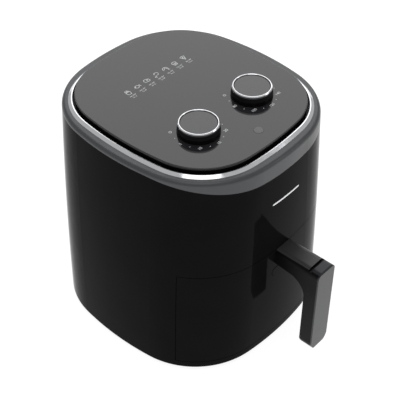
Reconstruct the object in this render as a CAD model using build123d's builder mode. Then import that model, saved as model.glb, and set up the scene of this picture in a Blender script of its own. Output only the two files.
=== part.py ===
from build123d import *
import math
import os

# Drawer-type air fryer. Millimetres, +Z up, front of the body towards -Y, X to the right.
# The body is drawn about its own centre line; body_y moves that line so that the origin
# lies under the middle of the whole object, handle included.

# ---------------------------------------------------------------- driving dimensions
# outlines: half width, half depth, radius of the side faces, of the front and back
# faces, and of the corners
base_outline = (142.4, 144.9, 381.0, 377.0, 102.0)
waist_outline = (138.0, 144.9, 360.0, 349.0, 102.0)
top_outline = (129.6, 142.6, 336.0, 319.0, 100.0)
panel_outline = (111.6, 124.2, 420.0, 397.0, 75.4)

foot_height = 3.0
waist_z = 145.0
bezel_low_z = 286.5           # lower edge of the bezel at the sides and the back
bezel_top_z = bezel_low_z + 5.5
bezel_dip = 16.5              # how far the bezel's lower edge drops at the front
dip_start_y = -40.0
shoulder_radius = 5.2
edge_radius = 4.0             # bottom edge of the body
shell_wall = 2.6
bezel_wall = 2.4
bezel_lip = 2.4

ring_gap = 3.0                # dark trough between the panel wall and the ring
ring_width = 4.8
ring_top_z = bezel_top_z + 2.9
ring_bevel = 3.6
panel_top_z = bezel_top_z + 8.5
panel_thickness = 2.6
plinth_deck_z = bezel_low_z - 1.0
plinth_deck = 2.4
plinth_wall = 2.2
plinth_inset = 0.5

drawer_low_z = 14.4
drawer_high_z = 157.4
drawer_split_y = -88.3        # the drawer front wraps back to this plane
drawer_gap = 0.7
drawer_wall = 3.0
drawer_lip = 2.4
wing_room = 3.0               # between the chamber and the front's side wings

knob_x = 45.0
knob_y = -53.0
knob_radius = 23.0
knob_skirt = knob_radius + 1.4
knob_height = 13.2
knob_lift = 0.6
knob_cap_drop = 1.0
cap_thickness = 2.6
cap_groove = 0.5
ring_band = 2.0
hub_radius = 6.0
shaft_radius = 3.0
shaft_fit = 0.05              # running clearance of a turning shaft
bushing_radius = 4.8
control_screw_pitch = 32.0
timer_height = 32.0
thermostat_height = 24.0
lamp_x = 0.0
lamp_y = -100.0
lens_radius = 5.6

arm_width = 30.2
arm_depth = 19.0
arm_drop = 6.0                # the arm's underside falls this much towards the grip
arm_top_z = drawer_high_z - drawer_gap   # flush with the top of the drawer front
arm_edge_radius = 7.5
grip_front_y = -207.9
grip_depth = 18.5
grip_low_z = 26.0
grip_lean = 0.8
grip_end_radius = 13.0
grip_heel_radius = 13.5       # the grip's lower back edge
grip_toe_radius = 2.4         # the grip's lower front edge
palm_radius = 24.0
plate_skin = 2.0
plate_chamfer = 1.9
cover_skin = 1.8
top_return = 12.0             # the faceplate's return on top of the grip
slot_width = 4.0
slot_depth = 3.2
handle_screw_x = 8.0
cap_drop = 35.7               # oval cap below the arm's top
cap_length = 38.0
cap_height = 13.0

pan_half = 96.0
pan_y = 6.0
pan_low_z = drawer_low_z + 5.6
pan_high_z = drawer_high_z - 14.4
pan_wall = 1.6
pan_corner = 42.0
pan_fillet = 10.0
rim_width = 8.0
rim_thickness = 2.4
plate_lift = 11.0             # underside of the plate above the pan's underside
plate_sheet = 1.8
plate_edge = 6.0
plate_clearance = 3.0
plate_rings = 5
plate_ring_pitch = (pan_half - 18.0) / plate_rings
bumper_gap = 0.5
bumper_depth = 5.0

liner_room = 6.0              # between the pan's rim and the chamber's sides
liner_half_width = pan_half + rim_width + liner_room
liner_front_y = pan_y - pan_half - 7.0
liner_back_y = pan_y + pan_half + 10.0
liner_low_z = drawer_low_z - 3.4
liner_high_z = drawer_high_z + 38.6
liner_wall = 1.2
liner_corner = pan_corner + liner_room
curtain_drop = 1.4            # the curtain's edge below the top of the drawer's window
shaft_hole = 5.0
duct_width = 66.0
duct_height = 40.0
duct_wall = 1.5
vent_width = 72.0
vent_height = 46.0
vent_z = 160.0
grille_depth = 3.4
louvre_count = 7
louvre_pitch = 5.4
louvre_slot = 2.8

runner_in = pan_half + 1.0
runner_out = pan_half + rim_width - 0.4
runner_height = 9.0
runner_length = 2 * pan_half - 24.0
frame_panel = 2.6
frame_half = pan_half + 10.0
frame_rise = 9.0              # the back panel's top above the pan's rim
rail_inner_x = runner_in + 1.6
rail_sheet = 1.6
rail_height = 14.0
rail_back_y = pan_y + pan_half - pan_corner

fan_y = 6.0
coil_drop = 24.0              # heights in the chamber are set down from its roof
reflector_radius = liner_half_width - 11.0
coil_outer = reflector_radius - 19.0
coil_inner = coil_outer - 18.0
chamber_fan_radius = coil_inner - 8.0
cooling_fan_radius = coil_inner - 14.0
coil_gap = 14.0               # half of the angle between the element's two ends
heater_radius = 3.3
riser_height = 10.0
bracket_angles = (-150, -30, 30, 150)
guard_drop = 33.0
guard_wire = 1.3
guard_rings = tuple(coil_outer + 2.0 - step * 20.0 for step in (3, 2, 1, 0))
reflector_drop = 4.0
reflector_sheet = 1.0
reflector_rim = 8.0
chamber_fan_drop = 7.0
cooling_fan_lift = 6.0
bulb_x = liner_half_width - 26.0
bulb_y = -62.0
bulb_radius = 2.6
bulb_length = 24.0
capillary_radius = 1.0

motor_lift = 22.0             # the motor's plate above the chamber
bracket_sheet = 1.6
leg_offset = 46.0
core_lift = 8.0               # the core above the plate
motor_half = 33.0
motor_stack = 20.0
bolt_inset = 6.0              # core bolts from the core's edge
motor_screw_radius = 1.9
rotor_radius = 15.0
rotor_gap = 0.5
limb_width = 7.0
window_width = 26.0
window_depth = 7.0
coil_over = 6.0
bearing_radius = 8.0
bearing_height = 8.0
shaft_reach = 20.0            # the shaft below the chamber's roof
shaft_rise = 10.0             # the shaft above the core

tray_clearance = 0.3
tray_thickness = 2.6
tray_rim = 2.0
tray_rim_z = 13.0
stand_x = 80.0
stand_y = 70.0
inlet_rows = 6
inlet_pitch = 12.0
inlet_slot = 34.0
foot_x = 92.0
foot_y = 92.0
foot_radius = 10.0
foot_stem = 3.5
low_boss_height = 20.0
high_boss_height = 18.0
boss_y = 45.0
boss_radius = 4.6
screw_radius = 1.7
inlet_z = 36.0
inlet_radius = 7.0
grommet_flange = 3.0
grommet_proud = 2.4
cord_bore = 3.6
grommet_length = 13.0
terminal_x = 52.0
terminal_y = 120.0
switch_x = 60.0
switch_z = 163.0

clearance = 0.3
touch = 0.1

# ---------------------------------------------------------------- shared geometry
rear_reach = base_outline[1] + grommet_proud
body_y = (-grip_front_y - rear_reach) / 2

wing_x = liner_half_width + wing_room         # inner face of the front's side wings
plate_z = pan_low_z + plate_lift
frame_high_z = pan_high_z + frame_rise
curtain_low_z = drawer_high_z - curtain_drop
cap_z = arm_top_z - cap_drop
coil_z = liner_high_z - coil_drop
riser_top_z = liner_high_z + riser_height
guard_z = liner_high_z - guard_drop
reflector_z = liner_high_z - reflector_drop
chamber_fan_z = liner_high_z - chamber_fan_drop
cooling_fan_z = liner_high_z + cooling_fan_lift
motor_low_z = liner_high_z + motor_lift
core_low_z = motor_low_z + core_lift
motor_bolt = motor_half - bolt_inset
shaft_low_z = liner_high_z - shaft_reach
shaft_high_z = core_low_z + motor_stack + shaft_rise


def level(z, x=0.0, y=0.0):
    """Horizontal plane at height z, with its origin on the body's centre line."""
    return Plane((x, body_y + y, z))


def facing_front(y, x=0.0, z=0.0):
    """Upright plane whose normal points to the front (-Y); local x is +X, local y is +Z."""
    return Plane((x, body_y + y, z), x_dir=(1, 0, 0), z_dir=(0, -1, 0))


def facing_side(x):
    """Upright plane whose normal is +X; local x is +Y and local y is +Z."""
    return Plane((x, body_y, 0), x_dir=(0, 1, 0), z_dir=(1, 0, 0))


def inset(outline, distance):
    """The same outline moved inwards by a distance."""
    return tuple(value - distance for value in outline)


def corner_centre(outline):
    """Centre of the corner arc that is tangent inside to the side and the front arcs."""
    half_width, half_depth, side, front, corner = outline
    side_x = half_width - side
    front_y = half_depth - front
    reach_side = side - corner
    reach_front = front - corner
    span = math.hypot(side_x, front_y)
    along = (reach_side**2 - reach_front**2 + span**2) / (2 * span)
    across = math.sqrt(reach_side**2 - along**2)
    to_front = (-side_x / span, front_y / span)
    x = side_x + along * to_front[0] - across * to_front[1]
    y = along * to_front[1] + across * to_front[0]
    return x, y


def draw_outline(outline):
    """Closed rounded outline of eight tangent arcs; call inside a BuildLine."""
    half_width, half_depth, side, front, corner = outline
    x, y = corner_centre(outline)
    side_angle = math.degrees(math.atan2(y, x - (half_width - side)))
    front_angle = math.degrees(math.atan2(y - (half_depth - front), x))
    CenterArc((half_width - side, 0), side, -side_angle, 2 * side_angle)
    CenterArc((x, y), corner, side_angle, front_angle - side_angle)
    CenterArc((0, half_depth - front), front, front_angle, 180 - 2 * front_angle)
    CenterArc((-x, y), corner, 180 - front_angle, front_angle - side_angle)
    CenterArc((side - half_width, 0), side, 180 - side_angle, 2 * side_angle)
    CenterArc((-x, -y), corner, 180 + side_angle, front_angle - side_angle)
    CenterArc((0, front - half_depth), front, 180 + front_angle, 180 - 2 * front_angle)
    CenterArc((x, -y), corner, -front_angle, front_angle - side_angle)


def outline_sketch(outline, z):
    """Filled outline at height z."""
    with BuildSketch(level(z)) as sketch:
        with BuildLine():
            draw_outline(outline)
        make_face()
    return sketch.sketch


def body_solid(distance, high_z):
    """The body's outer form moved inwards by a distance, up to a height."""
    with BuildPart() as form:
        for outline, z in (
            (base_outline, foot_height),
            (waist_outline, waist_z),
            (top_outline, bezel_low_z),
        ):
            add(outline_sketch(inset(outline, distance), z))
        loft()
        if high_z > bezel_low_z:
            add(outline_sketch(inset(top_outline, distance), bezel_low_z))
            extrude(amount=high_z - bezel_low_z)
    return form.part


def save(piece, label):
    """Label a finished piece and write it as its own STEP file."""
    piece.label = label
    export_step(piece, f"parts/{label}.step")


def block(low, high):
    """Axis-aligned box between two corners given on the body's centre line."""
    size = [high[i] - low[i] for i in range(3)]
    with BuildPart(Plane((low[0], body_y + low[1], low[2]))) as solid:
        Box(*size, align=(Align.MIN, Align.MIN, Align.MIN))
    return solid.part


def wall_x(outline, y):
    """Distance from the centre plane to the side arc of an outline at a given y."""
    half_width, _, side, _, _ = outline
    return half_width - side + math.sqrt(side**2 - y**2)


def wall_y(outline, x):
    """Distance from the centre plane to the front or back arc of an outline at a given x."""
    _, half_depth, _, front, _ = outline
    return half_depth - front + math.sqrt(front**2 - x**2)


def facing_back(y, x=0.0, z=0.0):
    """Upright plane whose normal points to the back (+Y); local x is -X and local y is +Z."""
    return Plane((x, body_y + y, z), x_dir=(-1, 0, 0), z_dir=(0, 1, 0))


far = 200.0                   # reach of cutting solids, beyond every outline
side_signs = (-1, 1)
ring_inner = inset(panel_outline, -ring_gap)
ring_outer = inset(panel_outline, -ring_gap - ring_width)
low_boss_x = wall_x(inset(base_outline, shell_wall), boss_y) - boss_radius + 1.0
high_boss_x = wall_x(inset(top_outline, shell_wall), boss_y) - boss_radius + 1.4
deck_under_z = plinth_deck_z - plinth_deck
tray_low_z = foot_height + 1.0
tray_top_z = tray_low_z + tray_thickness
chamber_top_z = liner_high_z - liner_wall
rail_top_z = pan_high_z - rim_thickness - runner_height - clearance
frame_back_y = pan_y - pan_half - rim_width - clearance
frame_front_y = frame_back_y - frame_panel
handle_screw_points = [(side * handle_screw_x, arm_top_z - arm_depth / 2) for side in side_signs]
frame_bosses = [(side * 70.0, z) for side in side_signs for z in (40.0, 126.0)]


# ---------------------------------------------------------------- casing
def above_split():
    """Everything above the bezel's lower edge: level at the back, dropping at the front."""
    with BuildPart() as region:
        with BuildSketch(facing_side(-far)):
            with BuildLine():
                Line((far, bezel_low_z), (dip_start_y, bezel_low_z))
                TangentArc(
                    (dip_start_y, bezel_low_z),
                    (-top_outline[1], bezel_low_z - bezel_dip),
                    tangent=(-1, 0),
                )
                Polyline(
                    (-top_outline[1], bezel_low_z - bezel_dip),
                    (-far, bezel_low_z - bezel_dip),
                    (-far, bezel_low_z + far),
                    (far, bezel_low_z + far),
                    (far, bezel_low_z),
                )
            make_face()
        extrude(amount=2 * far)
    return region.part


def make_outer_shell():
    """Glossy casing: barrel wall, drawer window, rear openings and screw bosses."""
    with BuildPart() as outer_shell:
        add(body_solid(0, bezel_low_z))
        fillet(outer_shell.edges().group_by(Axis.Z)[0], edge_radius)
        add(body_solid(shell_wall, bezel_low_z), mode=Mode.SUBTRACT)
        add(above_split(), mode=Mode.SUBTRACT)
        add(
            block((-far, -far, drawer_low_z), (far, drawer_split_y, drawer_high_z)),
            mode=Mode.SUBTRACT,
        )
        add(
            block(
                (-vent_width / 2, 0, vent_z - vent_height / 2),
                (vent_width / 2, far, vent_z + vent_height / 2),
            ),
            mode=Mode.SUBTRACT,
        )
        with BuildSketch(facing_front(far, z=inlet_z)):
            Circle(inlet_radius)
        extrude(amount=far, mode=Mode.SUBTRACT)
        with BuildSketch(level(tray_top_z)):
            with Locations(*[(s * low_boss_x, t * boss_y) for s in side_signs for t in side_signs]):
                Circle(boss_radius)
        extrude(amount=low_boss_height)
        with BuildSketch(level(deck_under_z)):
            with Locations(*[(s * high_boss_x, t * boss_y) for s in side_signs for t in side_signs]):
                Circle(boss_radius)
        extrude(amount=-high_boss_height)
        with BuildSketch(level(tray_top_z)):
            with Locations(*[(s * low_boss_x, t * boss_y) for s in side_signs for t in side_signs]):
                Circle(screw_radius)
        extrude(amount=low_boss_height - 3, mode=Mode.SUBTRACT)
        with BuildSketch(level(deck_under_z)):
            with Locations(*[(s * high_boss_x, t * boss_y) for s in side_signs for t in side_signs]):
                Circle(screw_radius)
        extrude(amount=3 - high_boss_height, mode=Mode.SUBTRACT)
    return outer_shell.part


def make_base_tray():
    """Bottom plate with air inlets, a low rim, foot holes and stands for the liner."""
    tray_outline = inset(base_outline, shell_wall + tray_clearance)
    with BuildPart() as base_tray:
        add(outline_sketch(tray_outline, tray_low_z))
        extrude(amount=tray_rim_z - tray_low_z)
        add(outline_sketch(inset(tray_outline, tray_rim), tray_top_z))
        extrude(amount=tray_rim_z - tray_top_z, mode=Mode.SUBTRACT)
        with BuildSketch(level(tray_low_z)):
            with GridLocations(2 * low_boss_x, 2 * boss_y, 2, 2):
                Circle(boss_radius + 1.4)
        extrude(amount=tray_rim_z - tray_low_z)
        add(body_solid(shell_wall + tray_clearance, bezel_low_z), mode=Mode.INTERSECT)
        with BuildSketch(level(tray_top_z)):
            with GridLocations(2 * low_boss_x, 2 * boss_y, 2, 2):
                Circle(boss_radius + 0.1)
        extrude(amount=far, mode=Mode.SUBTRACT)
        with BuildSketch(level(tray_low_z)):
            with GridLocations(2 * low_boss_x, 2 * boss_y, 2, 2):
                Circle(screw_radius + 0.2)
            with GridLocations(2 * foot_x, 2 * foot_y, 2, 2):
                Circle(foot_stem + touch)
            for row in range(inlet_rows):
                with Locations((0, (row - (inlet_rows - 1) / 2) * inlet_pitch)):
                    with GridLocations(inlet_slot + 8, 1, 3, 1):
                        SlotOverall(inlet_slot, 4.0)
        extrude(amount=tray_thickness, mode=Mode.SUBTRACT)
        with BuildSketch(level(tray_top_z)):
            with GridLocations(2 * stand_x, 2 * stand_y, 2, 2):
                Rectangle(14, 14)
        extrude(amount=liner_low_z - tray_top_z)
    return base_tray.part


def make_feet():
    """Four rubber feet, each a pad with a stem that snaps through the tray."""
    with BuildPart() as feet:
        with BuildSketch(level(0)):
            with GridLocations(2 * foot_x, 2 * foot_y, 2, 2):
                Circle(foot_radius)
        extrude(amount=tray_low_z)
        fillet(feet.faces().sort_by(Axis.Z)[0:4].edges(), 1.0)
        with BuildSketch(level(tray_low_z)):
            with GridLocations(2 * foot_x, 2 * foot_y, 2, 2):
                Circle(foot_stem)
        extrude(amount=tray_thickness)
        with BuildSketch(level(tray_top_z)):
            with GridLocations(2 * foot_x, 2 * foot_y, 2, 2):
                Circle(foot_stem + 1.4)
        extrude(amount=2.0, taper=20)
    return feet.part


def make_screws(points, radius, length, head_radius, head_height, plane):
    """Pan-head screws whose heads stand on a plane and whose shanks go down from it."""
    with BuildPart() as screws:
        with BuildSketch(plane):
            with Locations(*points):
                Circle(head_radius)
        extrude(amount=head_height)
        fillet(screws.edges().filter_by(GeomType.CIRCLE).group_by(SortBy.LENGTH)[-1], 0.3)
        with BuildSketch(plane):
            with Locations(*points):
                Circle(radius)
        extrude(amount=-length)
    return screws.part


# ---------------------------------------------------------------- top of the body
def make_top_bezel():
    """Satin band: upright wall that is deeper at the front, rounded shoulder, flat lip."""
    with BuildPart() as top_bezel:
        add(body_solid(0, bezel_top_z))
        fillet(top_bezel.edges().group_by(Axis.Z)[-1], shoulder_radius)
        add(body_solid(bezel_wall, bezel_top_z - bezel_lip), mode=Mode.SUBTRACT)
        add(above_split(), mode=Mode.INTERSECT)
        add(outline_sketch(inset(ring_outer, -touch), bezel_low_z - far))
        extrude(amount=2 * far, mode=Mode.SUBTRACT)
    return top_bezel.part


def make_chrome_ring():
    """Polished ring round the panel, bevelled towards the outside."""
    with BuildPart() as chrome_ring:
        add(outline_sketch(ring_outer, plinth_deck_z))
        extrude(amount=ring_top_z - plinth_deck_z)
        chamfer(chrome_ring.edges().group_by(Axis.Z)[-1], ring_top_z - bezel_top_z - 0.1, ring_bevel)
        add(outline_sketch(ring_inner, plinth_deck_z))
        extrude(amount=ring_top_z - plinth_deck_z, mode=Mode.SUBTRACT)
    return chrome_ring.part


def make_panel_plinth():
    """Black deck under the ring, with the raised wall that carries the panel."""
    deck_outline = inset(top_outline, max(shell_wall, bezel_wall) + clearance)
    wall_outline = inset(panel_outline, plinth_inset)
    under_panel_z = panel_top_z - panel_thickness
    with BuildPart() as panel_plinth:
        add(outline_sketch(deck_outline, deck_under_z))
        extrude(amount=plinth_deck)
        add(outline_sketch(wall_outline, plinth_deck_z))
        extrude(amount=under_panel_z - plinth_deck_z)
        add(outline_sketch(inset(wall_outline, plinth_wall), plinth_deck_z))
        extrude(amount=under_panel_z - plinth_deck_z, mode=Mode.SUBTRACT)
        with BuildSketch(level(deck_under_z)):
            with Locations(*knob_centres):
                Circle(bushing_radius + touch)
            with GridLocations(2 * high_boss_x, 2 * boss_y, 2, 2):
                Circle(screw_radius + 0.2)
            for x, y in knob_centres:
                with Locations((x, y)):
                    with GridLocations(control_screw_pitch, 1, 2, 1):
                        Circle(screw_radius + 0.1)
        extrude(amount=plinth_deck, mode=Mode.SUBTRACT)
    return panel_plinth.part


def make_control_panel():
    """Flat panel with soft edges, pierced for the two shafts and the lamp lens."""
    with BuildPart() as control_panel:
        add(outline_sketch(panel_outline, panel_top_z - panel_thickness))
        extrude(amount=panel_thickness)
        fillet(control_panel.edges().group_by(Axis.Z)[-1], 1.1)
        with BuildSketch(level(panel_top_z)):
            with Locations(*knob_centres):
                Circle(shaft_radius + 2.0)
            with Locations((lamp_x, lamp_y)):
                Circle(lens_radius + touch)
        extrude(amount=-panel_thickness, mode=Mode.SUBTRACT)
    return control_panel.part


def make_indicator_lens():
    """Round lens, flush in the panel, with a flange behind it."""
    with BuildPart() as indicator_lens:
        with BuildSketch(level(panel_top_z - panel_thickness, lamp_x, lamp_y)):
            Circle(lens_radius)
        extrude(amount=panel_thickness + 0.3)
        fillet(indicator_lens.edges().group_by(Axis.Z)[-1], 0.4)
        with BuildSketch(level(panel_top_z - panel_thickness, lamp_x, lamp_y)):
            Circle(lens_radius + 1.8)
        extrude(amount=-1.6)
        with BuildSketch(level(panel_top_z - panel_thickness - 1.6, lamp_x, lamp_y)):
            Circle(lens_radius - 1.5)
        extrude(amount=panel_thickness, mode=Mode.SUBTRACT)
    return indicator_lens.part


def make_indicator_lamp():
    """Lamp body on the deck, with its domed top just under the lens."""
    height = panel_top_z - panel_thickness - 2.4 - plinth_deck_z
    with BuildPart() as indicator_lamp:
        with BuildSketch(level(plinth_deck_z, lamp_x, lamp_y)):
            Circle(4.0)
        extrude(amount=2.0)
        with BuildSketch(level(plinth_deck_z, lamp_x, lamp_y)):
            Circle(2.6)
        extrude(amount=height)
        fillet(indicator_lamp.edges().group_by(Axis.Z)[-1], 2.4)
    return indicator_lamp.part


# ---------------------------------------------------------------- knobs and controls
def knob_profile(points):
    """Half section turned about the knob's axis; radius first, then height above the panel."""
    with BuildPart() as turned:
        with BuildSketch(Plane((0, 0, 0), x_dir=(1, 0, 0), z_dir=(0, -1, 0))):
            with BuildLine():
                Polyline(*points, close=True)
            make_face()
        revolve(axis=Axis.Z)
    return turned.part


def at_knob(piece, x):
    """A turned piece set on its knob axis, on top of the panel."""
    return Pos(x, body_y + knob_y, panel_top_z) * piece


def make_knob_body(x):
    """Black knob: flared skirt, waist under the trim ring, hollow underside and hub."""
    top = knob_height - knob_cap_drop - cap_thickness
    turned = knob_profile([
        (shaft_radius, knob_lift + 2.0),
        (hub_radius, knob_lift + 2.0),
        (hub_radius, top - 2.4),
        (knob_skirt - 3.4, top - 2.4 - 4.0),
        (knob_skirt - 2.6, knob_lift),
        (knob_skirt, knob_lift),
        (knob_skirt - 0.4, knob_lift + 4.5),
        (knob_radius - 0.6, top - 1.0),
        (knob_radius - 0.9, top),
        (0.0, top),
        (0.0, top - 1.6),
        (shaft_radius, top - 1.6),
    ])
    with BuildPart() as knob_body:
        add(at_knob(turned, x))
    return knob_body.part


def make_knob_ring(x):
    """Polished trim ring on the knob's shoulder, bevelled to the outside."""
    low = knob_height - knob_cap_drop - cap_thickness
    turned = knob_profile([
        (knob_radius - ring_band, low),
        (knob_radius - 0.3, low),
        (knob_radius, low + 0.4),
        (knob_radius, knob_height - 1.1),
        (knob_radius - 0.9, knob_height),
        (knob_radius - ring_band + 0.4, knob_height),
        (knob_radius - ring_band, knob_height - 0.4),
    ])
    with BuildPart() as knob_ring:
        add(at_knob(turned, x))
    return knob_ring.part


def make_knob_cap(x):
    """Flat cap set a little below the ring, with a fine groove round it."""
    low = knob_height - knob_cap_drop - cap_thickness
    radius = knob_radius - ring_band - cap_groove
    turned = knob_profile([
        (0.0, low),
        (radius, low),
        (radius, low + cap_thickness - 0.3),
        (radius - 0.3, low + cap_thickness),
        (0.0, low + cap_thickness),
    ])
    with BuildPart() as knob_cap:
        add(at_knob(turned, x))
    return knob_cap.part


def make_shaft(x, low_z):
    """Control shaft from the mechanism up into the knob's hub."""
    high_z = panel_top_z + knob_height - knob_cap_drop - cap_thickness - 1.6
    with BuildPart() as shaft:
        with BuildSketch(level(low_z, x, knob_y)):
            Circle(shaft_radius)
        extrude(amount=high_z - low_z)
    return shaft.part


def make_control_case(x, width, depth, height):
    """Housing of a control under the deck: a box, its threaded bushing and the shaft's bore."""
    low_z = deck_under_z - height
    with BuildPart() as case:
        with BuildSketch(level(low_z, x, knob_y)):
            RectangleRounded(width, depth, 3.0)
        extrude(amount=height)
        with BuildSketch(level(deck_under_z, x, knob_y)):
            Circle(bushing_radius)
        extrude(amount=plinth_deck + 4.0)
        with BuildSketch(level(low_z + 6.0, x, knob_y)):
            Circle(shaft_radius + shaft_fit)
        extrude(amount=far, mode=Mode.SUBTRACT)
        with BuildSketch(level(deck_under_z, x, knob_y)):
            with GridLocations(control_screw_pitch, 1, 2, 1):
                Circle(screw_radius)
        extrude(amount=-8.0, mode=Mode.SUBTRACT)
    return case.part


def make_timer_bell():
    """Bell cup under the timer, on a short post."""
    top_z = deck_under_z - timer_height
    with BuildPart() as timer_bell:
        with BuildSketch(level(top_z, -knob_x, knob_y)):
            Circle(3.0)
        extrude(amount=-6.0)
        with BuildSketch(level(top_z - 6.0, -knob_x, knob_y)):
            Circle(16.0)
        extrude(amount=-7.0)
        fillet(timer_bell.edges().group_by(Axis.Z)[0], 6.0)
        with BuildSketch(level(top_z - 4.0 - 3.2, -knob_x, knob_y)):
            Circle(14.8)
            Circle(3.0, mode=Mode.SUBTRACT)
        extrude(amount=3.4, mode=Mode.SUBTRACT)
    return timer_bell.part


def make_thermostat_bulb():
    """Sensing bulb in the chamber and its capillary tube up to the thermostat."""
    start = (knob_x + 6.0, knob_y - 4.0, deck_under_z - thermostat_height)
    path_points = [
        start,
        (start[0], start[1], start[2] - 20.0),
        (bulb_x, bulb_y, liner_high_z + 16.0),
        (bulb_x, bulb_y, chamber_top_z - 6.0),
    ]
    shifted = [(x, body_y + y, z) for x, y, z in path_points]
    with BuildPart() as thermostat_bulb:
        with BuildLine() as path:
            FilletPolyline(*shifted, radius=9.0)
        with BuildSketch(Plane(shifted[0], z_dir=(0, 0, -1))):
            Circle(capillary_radius)
        sweep(path=path.line)
        with BuildSketch(level(chamber_top_z - 6.0, bulb_x, bulb_y)):
            Circle(bulb_radius)
        extrude(amount=-bulb_length)
        fillet(thermostat_bulb.edges().group_by(Axis.Z)[0], 1.5)
    return thermostat_bulb.part


# ---------------------------------------------------------------- cooking chamber
def liner_sketch(distance, z):
    """The chamber's plan: square at the front, large corners at the back, moved inwards."""
    half_width = liner_half_width - distance
    back = liner_back_y - distance
    with BuildSketch(level(z)) as sketch:
        with BuildLine():
            Polyline(
                (-half_width, liner_front_y),
                (half_width, liner_front_y),
                (half_width, back),
                (-half_width, back),
                close=True,
            )
        make_face()
        fillet(sketch.vertices().group_by(Axis.Y)[-1], liner_corner - distance)
    return sketch.sketch


def make_inner_liner():
    """Steel cooking chamber: open at the front below the curtain, air outlet at the back."""
    with BuildPart() as inner_liner:
        add(liner_sketch(0, liner_low_z))
        extrude(amount=liner_high_z - liner_low_z)
        add(liner_sketch(liner_wall, liner_low_z + liner_wall))
        extrude(amount=chamber_top_z - liner_low_z - liner_wall, mode=Mode.SUBTRACT)
        with BuildSketch(facing_front(liner_front_y)) as curtain:
            with Locations((0, (curtain_low_z + chamber_top_z) / 2)):
                Rectangle(2 * (liner_half_width - liner_wall), chamber_top_z - curtain_low_z)
        extrude(amount=-liner_wall)
        with BuildSketch(level(liner_high_z)):
            with Locations((0, fan_y)):
                Circle(shaft_hole)
            with Locations((bulb_x, bulb_y)):
                Circle(capillary_radius + 0.6)
            with Locations(*terminal_points):
                Circle(heater_radius + 0.8)
        extrude(amount=-liner_wall, mode=Mode.SUBTRACT)
        add(
            block(
                (-duct_width / 2 + duct_wall, 0, vent_z - duct_height / 2 + duct_wall),
                (duct_width / 2 - duct_wall, far, vent_z + duct_height / 2 - duct_wall),
            ),
            mode=Mode.SUBTRACT,
        )
    return inner_liner.part


def make_drawer_rails():
    """Two steel angles on the chamber's sides, just under the drawer's runners."""
    inner_wall = liner_half_width - liner_wall
    with BuildPart() as drawer_rails:
        with BuildSketch(facing_front(rail_back_y)):
            with BuildLine():
                Polyline(
                    (inner_wall, rail_top_z - rail_height),
                    (inner_wall, rail_top_z),
                    (rail_inner_x, rail_top_z),
                    (rail_inner_x, rail_top_z - rail_sheet),
                    (inner_wall - rail_sheet, rail_top_z - rail_sheet),
                    (inner_wall - rail_sheet, rail_top_z - rail_height),
                    close=True,
                )
            make_face()
        extrude(amount=rail_back_y - liner_front_y - 1.0)
        mirror(about=Plane.YZ)
    return drawer_rails.part


def make_heat_reflector():
    """Dished steel plate over the fan, on three spacers under the chamber's roof."""
    with BuildPart() as heat_reflector:
        with BuildSketch(level(reflector_z, y=fan_y)):
            Circle(reflector_radius)
            Circle(shaft_hole + 4.0, mode=Mode.SUBTRACT)
        extrude(amount=-reflector_sheet)
        with BuildSketch(level(reflector_z - reflector_sheet, y=fan_y)):
            Circle(reflector_radius)
            Circle(reflector_radius - reflector_sheet, mode=Mode.SUBTRACT)
        extrude(amount=-reflector_rim)
        with BuildSketch(level(reflector_z, y=fan_y)):
            with PolarLocations(reflector_radius - 12.0, 3, 30):
                Circle(3.0)
        extrude(amount=chamber_top_z - reflector_z)
        with BuildSketch(level(reflector_z)):
            with Locations((bulb_x, bulb_y)):
                Circle(bulb_radius + 1.0)
            with Locations(*terminal_points):
                Circle(heater_radius + 0.8)
        extrude(amount=-reflector_sheet, mode=Mode.SUBTRACT)
    return heat_reflector.part


def ring_arc(radius, tube, z, start, arc):
    """Part of a torus about the fan's axis."""
    start_plane = Plane(
        (radius * math.cos(math.radians(start)), body_y + fan_y + radius * math.sin(math.radians(start)), z),
        x_dir=(math.cos(math.radians(start)), math.sin(math.radians(start)), 0),
        z_dir=(-math.sin(math.radians(start)), math.cos(math.radians(start)), 0),
    )
    with BuildPart() as turned:
        with BuildSketch(start_plane):
            Circle(tube)
        revolve(axis=Axis((0, body_y + fan_y, z), (0, 0, 1)), revolution_arc=arc)
    return turned.part


def make_heating_element():
    """Sheathed element: an outer and an inner turn joined by a link, with two risers."""
    with BuildPart() as heating_element:
        for radius in (coil_inner, coil_outer):
            add(ring_arc(radius, heater_radius, coil_z, 90 + coil_gap, 360 - 2 * coil_gap))
        for x, y in link_points:
            with BuildSketch(level(coil_z, x, y)):
                Circle(heater_radius + 0.4)
            extrude(amount=heater_radius + 0.4, both=True)
        with BuildSketch(link_plane):
            Circle(heater_radius - 0.2)
        extrude(amount=coil_outer - coil_inner)
        with BuildSketch(level(coil_z)):
            with Locations(*terminal_points):
                Circle(heater_radius + 0.4)
        extrude(amount=heater_radius + 0.4, both=True)
        with BuildSketch(level(coil_z)):
            with Locations(*terminal_points):
                Circle(heater_radius)
        extrude(amount=riser_top_z - coil_z)
        with BuildSketch(level(riser_top_z)):
            with Locations(*terminal_points):
                Circle(1.6)
        extrude(amount=7.0)
    return heating_element.part


def make_heater_brackets(element):
    """Strips that hang from the reflector and hold both turns of the element."""
    post_low = coil_z - heater_radius - 2.0
    with BuildPart() as heater_brackets:
        for angle in bracket_angles:
            axis_plane = Plane((0, body_y + fan_y, post_low)).rotated((0, 0, angle))
            with BuildSketch(axis_plane):
                with Locations(((coil_inner + coil_outer) / 2 + 2.0, 0)):
                    Rectangle(coil_outer - coil_inner + 4 * heater_radius, 2.0)
            extrude(amount=2 * heater_radius + 4.0)
            with BuildSketch(axis_plane):
                with Locations((coil_outer + heater_radius + 4.4, 0)):
                    Rectangle(4.0, 8.0)
            extrude(amount=reflector_z - reflector_sheet - post_low)
        add(element, mode=Mode.SUBTRACT)
    return heater_brackets.part


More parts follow.
